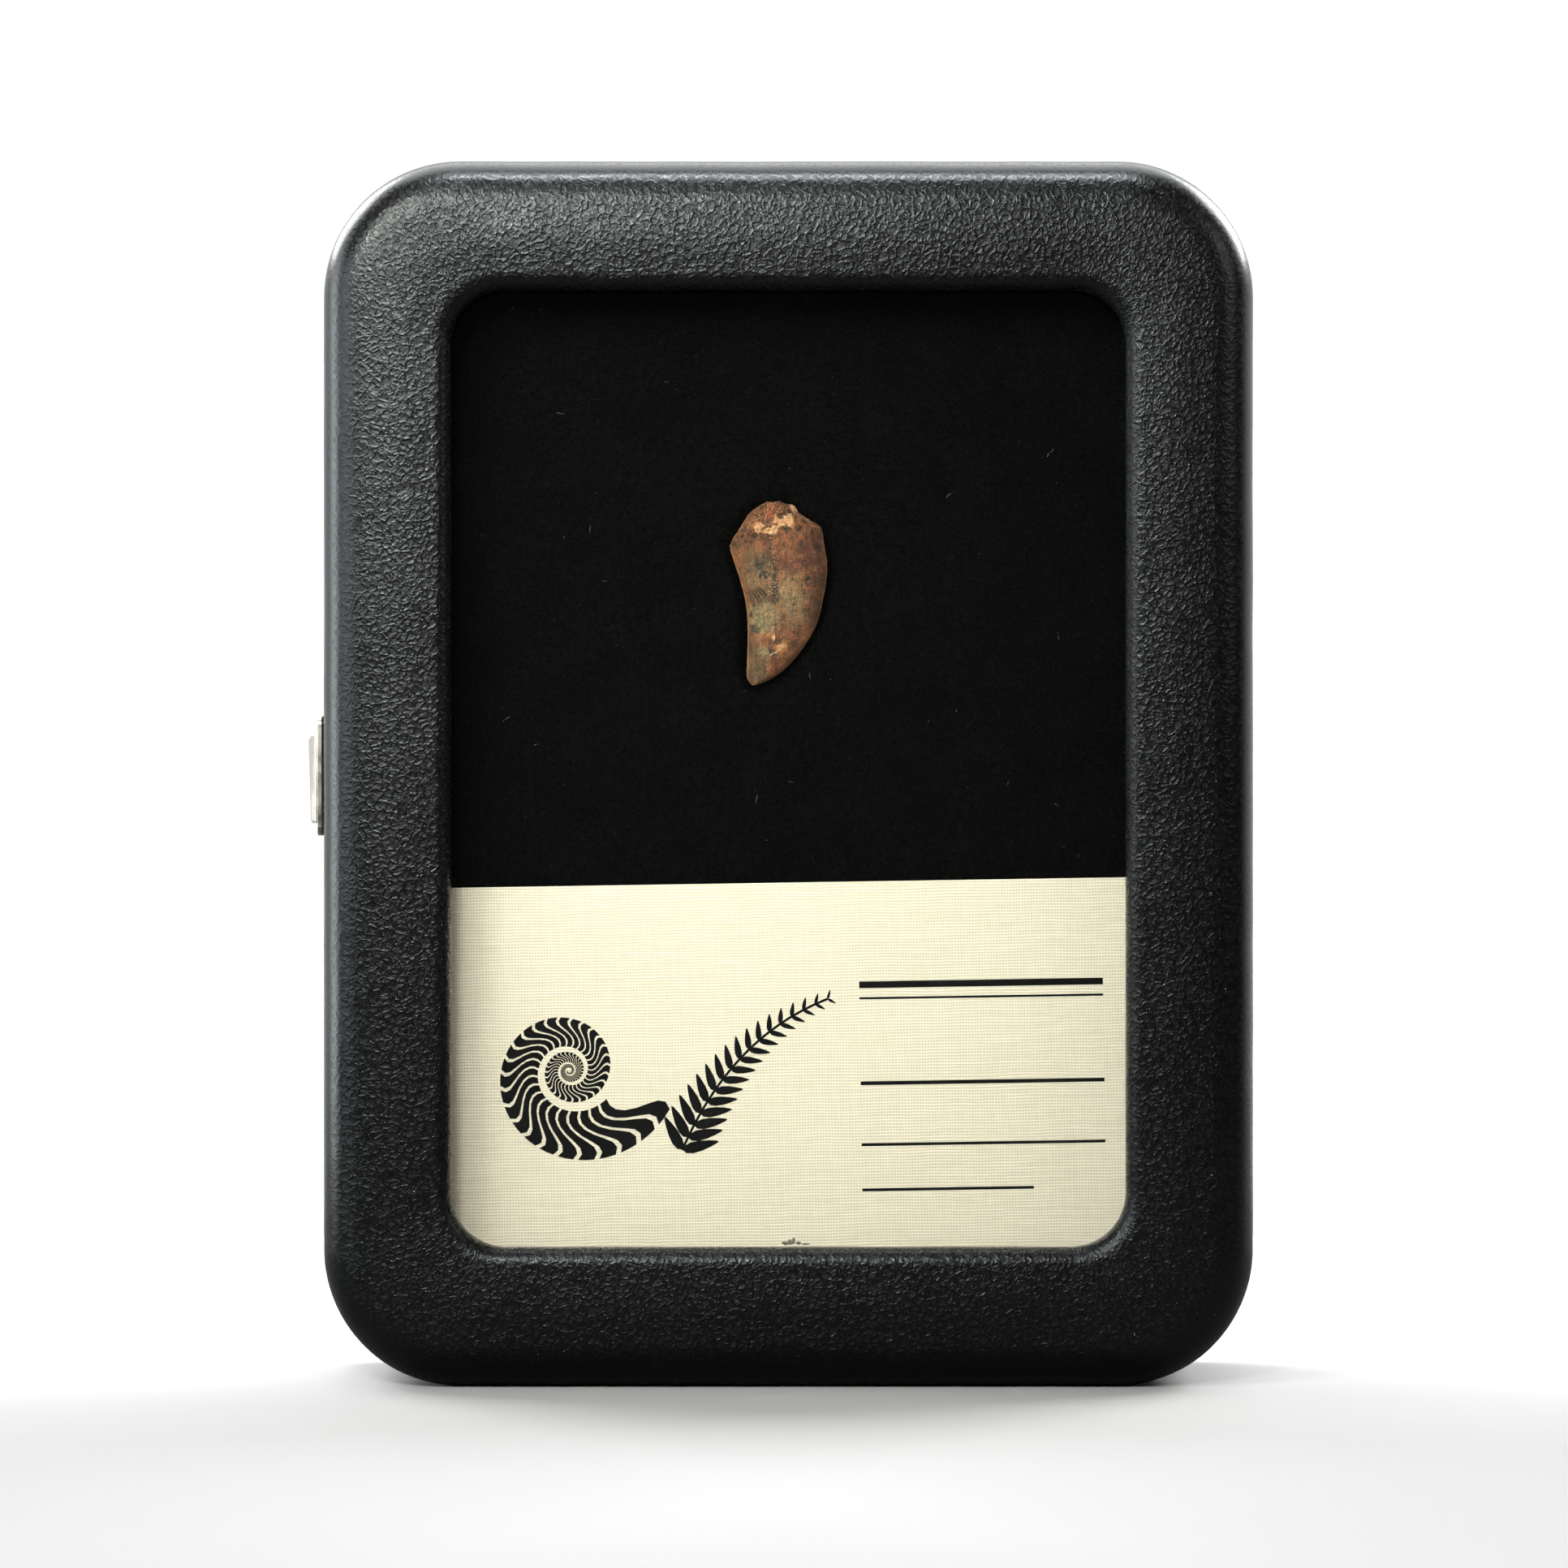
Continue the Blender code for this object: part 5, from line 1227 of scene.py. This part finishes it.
def claspRivets(tree, node, plate, body):
    # Sets the heads on the plate where a ray from the left meets it
    depsgraph = bpy.context.evaluated_depsgraph_get()
    places = []
    for y, z in rivets[node]:
        start = Vector((lidLow.x - 20 * mm, (lidRimY + baseRimY) / 2 + y * mm, claspZ + z * mm))
        hit, place, normal, face = plate.evaluated_get(depsgraph).ray_cast(start, Vector((1, 0, 0)))
        if hit:
            places.append(place)
    spots = bpy.data.meshes.new("rivetSpots")
    spots.from_pydata(places, [], [])
    sizes = {"Radius": metalwork["rivetRadius"] * mm, "Height": metalwork["rivetHeight"] * mm, "Finish": nickel}
    piece = growMesh(node + "_rivets", tree, sizes, spots)
    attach(piece, body)
    return len(places)


claspZ = (tongueLow.z + tongueHigh.z) / 2
heads = rivetTree()
made = claspRivets(heads, "clasp_tongue", tongue, "lid") + claspRivets(heads, "clasp_keeper", keeper, "case_base")
print("rivets made:", made)


# Glue, dust and lint

glue = {
    "blobs": ((0.55, 0.0, 0.34, 0.2), (1.02, 0.12, 0.3, 0.34), (1.3, 0.22, 0.2, 0.36), (1.75, 0.02, 0.3, 0.2), (2.4, -0.05, 0.5, 0.12)),
    "sliver": ((9.8, 0.0, 0.03), (13, 0.06, 0.07), (16.5, 0.16, 0.11), (20, 0.24, 0.1), (23.4, 0.28, 0.02)),
    "depth": 0.16,
}
specks = {
    "leather": {"count": 46, "low": 0.035, "high": 0.085, "seed": 21},
    "velvet": {"count": 70, "low": 0.02, "high": 0.05, "seed": 8},
    "lint": 26, "lintLength": 0.9, "lintWidth": 0.014,
}


def driedGlue():
    # Clear brown glue squeezed out under the window's lower edge, and a raised sliver beside it
    material, tree, shader, place = startMaterial("driedGlue")
    cloudy = addNode(tree, "ShaderNodeTexNoise", {"Vector": place, "Scale": 1 / (0.25 * mm), "Detail": 3.0})
    colour = addNode(tree, "ShaderNodeMix", {"Factor": cloudy, "A": linearColour("#3d3e36"), "B": linearColour("#8f8d7c")}, data_type="RGBA")
    tree.links.new(colour.outputs[2], shader.inputs["Base Color"])
    shader.inputs["Roughness"].default_value = 0.3
    return material


def glueTrace(material):
    edgeZ = windowLowZ
    shape = bmesh.new()
    for x, z, wide, high in glue["blobs"]:
        moved = Matrix.Translation(Vector((x * mm, cardFrontY, edgeZ + z * mm)))
        scaled = Matrix.Diagonal((wide * mm, glue["depth"] * mm, high * mm, 1))
        bmesh.ops.create_icosphere(shape, subdivisions=3, radius=1, matrix=moved @ scaled)
    for vert in shape.verts:
        vert.co += 0.05 * mm * Vector(noise.noise_vector(vert.co / (0.3 * mm)))
    rings = []
    for x, z, half in glue["sliver"]:
        ring = []
        for i in range(8):
            turn = math.tau * i / 8
            offset = Vector((0, 0.5 * glue["depth"] * math.cos(turn), half * math.sin(turn)))
            ring.append(shape.verts.new(Vector((x * mm, cardFrontY, edgeZ + z * mm)) + offset * mm))
        rings.append(ring)
    for first, second in zip(rings, rings[1:]):
        for i in range(8):
            shape.faces.new((first[i], first[(i + 1) % 8], second[(i + 1) % 8], second[i]))
    shape.faces.new(rings[0][::-1])
    shape.faces.new(rings[-1])
    bmesh.ops.recalc_face_normals(shape, faces=shape.faces)
    mesh = bpy.data.meshes.new("glue_trace")
    shape.to_mesh(mesh)
    shape.free()
    mesh.shade_smooth()
    mesh.materials.append(material)
    piece = addPiece("glue_trace", mesh)
    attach(piece, "case_base")
    return piece


def speckTree(name, shard):
    # Scatters one small shape over a surface, each turned and sized its own way
    sizes = {"Density": 0.0, "Low": 0.0, "High": 0.0, "Seed": 1, "Length": 0.0, "Width": 0.0, "Finish": dust}
    tree, given = startTree(name, sizes)
    spots = addNode(tree, "GeometryNodeDistributePointsOnFaces", {"Mesh": given["Geometry"], "Density": given["Density"], "Seed": given["Seed"]}, distribute_method="RANDOM")
    if shard == "grain":
        bit = addNode(tree, "GeometryNodeMeshIcoSphere", {"Radius": 1.0, "Subdivisions": 1})
        flat = (1.0, 0.7, 0.45)
    else:
        bow = addNode(tree, "GeometryNodeCurvePrimitiveBezierSegment", {"Resolution": 8, "Start": (-0.5, 0, 0), "Start Handle": (-0.2, 0.35, 0), "End Handle": (0.3, -0.2, 0), "End": (0.5, 0.1, 0)})
        rim = addNode(tree, "GeometryNodeCurvePrimitiveCircle", {"Resolution": 4, "Radius": given["Width"]})
        long = addNode(tree, "ShaderNodeCombineXYZ", {"X": given["Length"], "Y": given["Length"], "Z": given["Length"]})
        sized = addNode(tree, "GeometryNodeTransform", {"Geometry": bow, "Scale": long})
        bit = addNode(tree, "GeometryNodeCurveToMesh", {"Curve": sized, "Profile Curve": rim, "Fill Caps": True})
        flat = (1.0, 1.0, 1.0)
    spin = addNode(tree, "FunctionNodeRandomValue", {"Min": (0.0, 0.0, 0.0), "Max": (0.0, 0.0, math.tau), "Seed": 2}, data_type="FLOAT_VECTOR")
    turn = addNode(tree, "FunctionNodeRotateRotation", {"Rotation": spots.outputs["Rotation"], "Rotate By": spin}, rotation_space="LOCAL")
    size = addNode(tree, "FunctionNodeRandomValue", {2: given["Low"], 3: given["High"], "Seed": 6}, data_type="FLOAT")
    scale = addNode(tree, "ShaderNodeVectorMath", {0: flat, "Scale": size}, operation="SCALE")
    placed = addNode(tree, "GeometryNodeInstanceOnPoints", {"Points": spots, "Instance": bit, "Rotation": turn, "Scale": scale})
    real = addNode(tree, "GeometryNodeRealizeInstances", {"Geometry": placed})
    painted = addNode(tree, "GeometryNodeSetMaterial", {"Geometry": real, "Material": given["Finish"]})
    addNode(tree, "NodeGroupOutput", {0: painted})
    return tree


def frontFaces(name, mesh, keep):
    # The faces of a piece that look forwards and pass a test on their place
    shape = bmesh.new()
    shape.from_mesh(mesh)
    away = [f for f in shape.faces if f.normal.y > -0.7 or not keep(f.calc_center_median())]
    bmesh.ops.delete(shape, geom=away, context="FACES")
    area = sum(f.calc_area() for f in shape.faces)
    part = bpy.data.meshes.new(name)
    shape.to_mesh(part)
    shape.free()
    return part, area


def scatter(name, tree, source, keep, count, body, slot, **sizes):
    part, area = frontFaces(name + "_faces", source.data, keep)
    given = {"Density": count / area, "Low": 1.0, "High": 1.0, "Seed": 1, "Length": 0.0, "Width": 0.0, "Finish": dust}
    given.update(sizes)
    piece = growMesh(name, tree, given, part)
    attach(piece, body)
    return piece


windowLowZ = lidLow.z + (caseWrap["bandWidth"] + caseWrap["windowTrim"] + caseWrap["windowRise"]) * mm
cardFrontY = cardLow.y + 0.02 * mm
glueTrace(driedGlue())
grains = speckTree("scatterGrain", "grain")
fibres = speckTree("scatterFibre", "fibre")
onLeather, onVelvet = specks["leather"], specks["velvet"]
scatter(
    "lid_dust", grains, lidLeather, lambda place: place.y < frontY + 1.5 * mm, onLeather["count"], "lid", "leatherette",
    Low=onLeather["low"] * mm, High=onLeather["high"] * mm, Seed=onLeather["seed"],
)
scatter(
    "velvet_dust", grains, velvetBase, lambda place: place.y < foamLow.y + 0.3 * mm and place.z > cardHigh.z, onVelvet["count"],
    "case_base", "velvet_foam", Low=onVelvet["low"] * mm, High=onVelvet["high"] * mm, Seed=onVelvet["seed"],
)
scatter(
    "velvet_lint", fibres, velvetBase, lambda place: place.y < foamLow.y + 0.3 * mm and place.z > cardHigh.z, specks["lint"],
    "case_base", "velvet_foam", Length=specks["lintLength"] * mm, Width=specks["lintWidth"] * mm, Low=0.4, Seed=5,
)
print("glue, dust and lint made")


# Camera, world and lights

view = {"distance": 500, "x": 0.46, "height": 53.07, "lens": 131.1, "sensor": 36}
cameraData = bpy.data.cameras.new("camera")
cameraData.lens = view["lens"]
cameraData.sensor_width = view["sensor"]
cameraData.clip_start = 0.01
camera = bpy.data.objects.new("camera", cameraData)
camera.location = (view["x"] * mm, frontY - view["distance"] * mm, view["height"] * mm)
camera.rotation_euler = (math.radians(90), 0, 0)
bpy.context.scene.collection.objects.link(camera)
bpy.context.scene.camera = camera
bpy.context.scene.view_settings.view_transform = "Standard"


def addLamp(name, lamp):
    lampData = bpy.data.lights.new(name, "AREA")
    lampData.shape = "RECTANGLE"
    lampData.size, lampData.size_y = (side * mm for side in lamp["size"])
    lampData.energy = lamp["power"]
    lampData.color = linearColour(lamp["colour"])[:3]
    lampData.spread = math.radians(lamp["spread"])
    placed = bpy.data.objects.new(name, lampData)
    placed.location = Vector(lamp["at"]) * mm
    placed.rotation_euler = (Vector(lamp["target"]) * mm - placed.location).to_track_quat("-Z", "Y").to_euler()
    bpy.context.scene.collection.objects.link(placed)


lamps = {
    "key": {"at": (-62, -335, 190), "size": (60, 60), "power": 0.045, "spread": 46, "colour": "#fffefa", "target": (-12, -10, 66)},
    "rearTop": {"at": (-30, 250, 520), "size": (520, 420), "power": 1.8, "spread": 180, "colour": "#fdfeff", "target": (-10, -40, 0)},
    "topStrip": {"at": (-25, -22, 195), "size": (140, 34), "power": 0.014, "spread": 26, "colour": "#fbfdff", "target": (-25, 34, 0)},
    "topFill": {"at": (-60, -230, 300), "size": (170, 110), "power": 0.01, "spread": 60, "colour": "#fbfdff", "target": (-20, -10, 100)},
    "corner": {"at": (-146, -205, 218), "size": (90, 90), "power": 0.045, "spread": 46, "colour": "#fffdf4", "target": (-37, -11, 101)},
    "leftFill": {"at": (-262, -170, 120), "size": (240, 150), "power": 0.05, "spread": 60, "colour": "#f8fbff", "target": (-41, -9, 66)},
    "leftStrip": {"at": (-128, 2, 90), "size": (44, 150), "power": 0.017, "spread": 60, "colour": "#f6faff", "target": (0, 2, 90)},
    "rightFill": {"at": (250, -150, 190), "size": (110, 150), "power": 0.016, "spread": 70, "colour": "#fffdf6", "target": (41, -8, 92)},
    "sideLeft": {"at": (-380, 300, 380), "size": (300, 300), "power": 3.1, "spread": 180, "colour": "#ffffff", "target": (0, -30, 0)},
    "sideRight": {"at": (380, 300, 380), "size": (300, 300), "power": 3.8, "spread": 180, "colour": "#ffffff", "target": (0, -30, 0)},
}
for name, lamp in lamps.items():
    addLamp(name, lamp)


def whiteRoom():
    # A white backdrop behind, and a dark room in front, so that the window mirrors nothing
    world = bpy.data.worlds.new("whiteRoom")
    world.use_nodes = True
    tree = world.node_tree
    way = addNode(tree, "ShaderNodeTexCoord").outputs["Generated"]
    parts = addNode(tree, "ShaderNodeSeparateXYZ", {0: way})
    backdrop = addNode(tree, "ShaderNodeMapRange", {"Value": parts.outputs[1], "From Min": 0.05, "From Max": 0.45, "To Min": 0.015, "To Max": 0.9})
    seen = addNode(tree, "ShaderNodeLightPath").outputs["Is Camera Ray"]
    strength = addNode(tree, "ShaderNodeMix", {"Factor": seen, "A": backdrop, "B": 1.05}, data_type="FLOAT")
    tree.links.new(strength.outputs[0], tree.nodes["Background"].inputs["Strength"])
    tree.nodes["Background"].inputs["Color"].default_value = (1, 1, 1, 1)
    bpy.context.scene.world = world


whiteRoom()


floor = {"left": -300, "right": 300, "front": -165, "rear": 160, "colour": "#cfcfd0", "paler": "#d4d4d4", "bounce": "#5a5a5a"}


def paleFloor():
    # Ends before the place where the window would mirror it
    shape = bmesh.new()
    corners = [(floor[side], floor[end]) for side, end in (("left", "front"), ("right", "front"), ("right", "rear"), ("left", "rear"))]
    shape.faces.new([shape.verts.new((x * mm, y * mm, -0.00002)) for x, y in corners])
    mesh = bpy.data.meshes.new("pale_floor")
    shape.to_mesh(mesh)
    shape.free()
    material, tree, shader, place = startMaterial("paleFloor")
    tone = addNode(tree, "ShaderNodeTexNoise", {"Vector": place, "Scale": 1 / (60 * mm)})
    pale = addNode(tree, "ShaderNodeMix", {"Factor": tone, "A": linearColour(floor["colour"]), "B": linearColour(floor["paler"])}, data_type="RGBA")
    seen = addNode(tree, "ShaderNodeLightPath").outputs["Is Camera Ray"]
    colour = addNode(tree, "ShaderNodeMix", {"Factor": seen, "A": linearColour(floor["bounce"]), "B": pale.outputs[2]}, data_type="RGBA")
    tree.links.new(colour.outputs[2], shader.inputs["Base Color"])
    shader.inputs["Roughness"].default_value = 0.9
    shader.inputs["Specular IOR Level"].default_value = 0.0
    mesh.materials.append(material)
    addPiece("pale_floor", mesh)


paleFloor()
print("camera, lights and floor made")
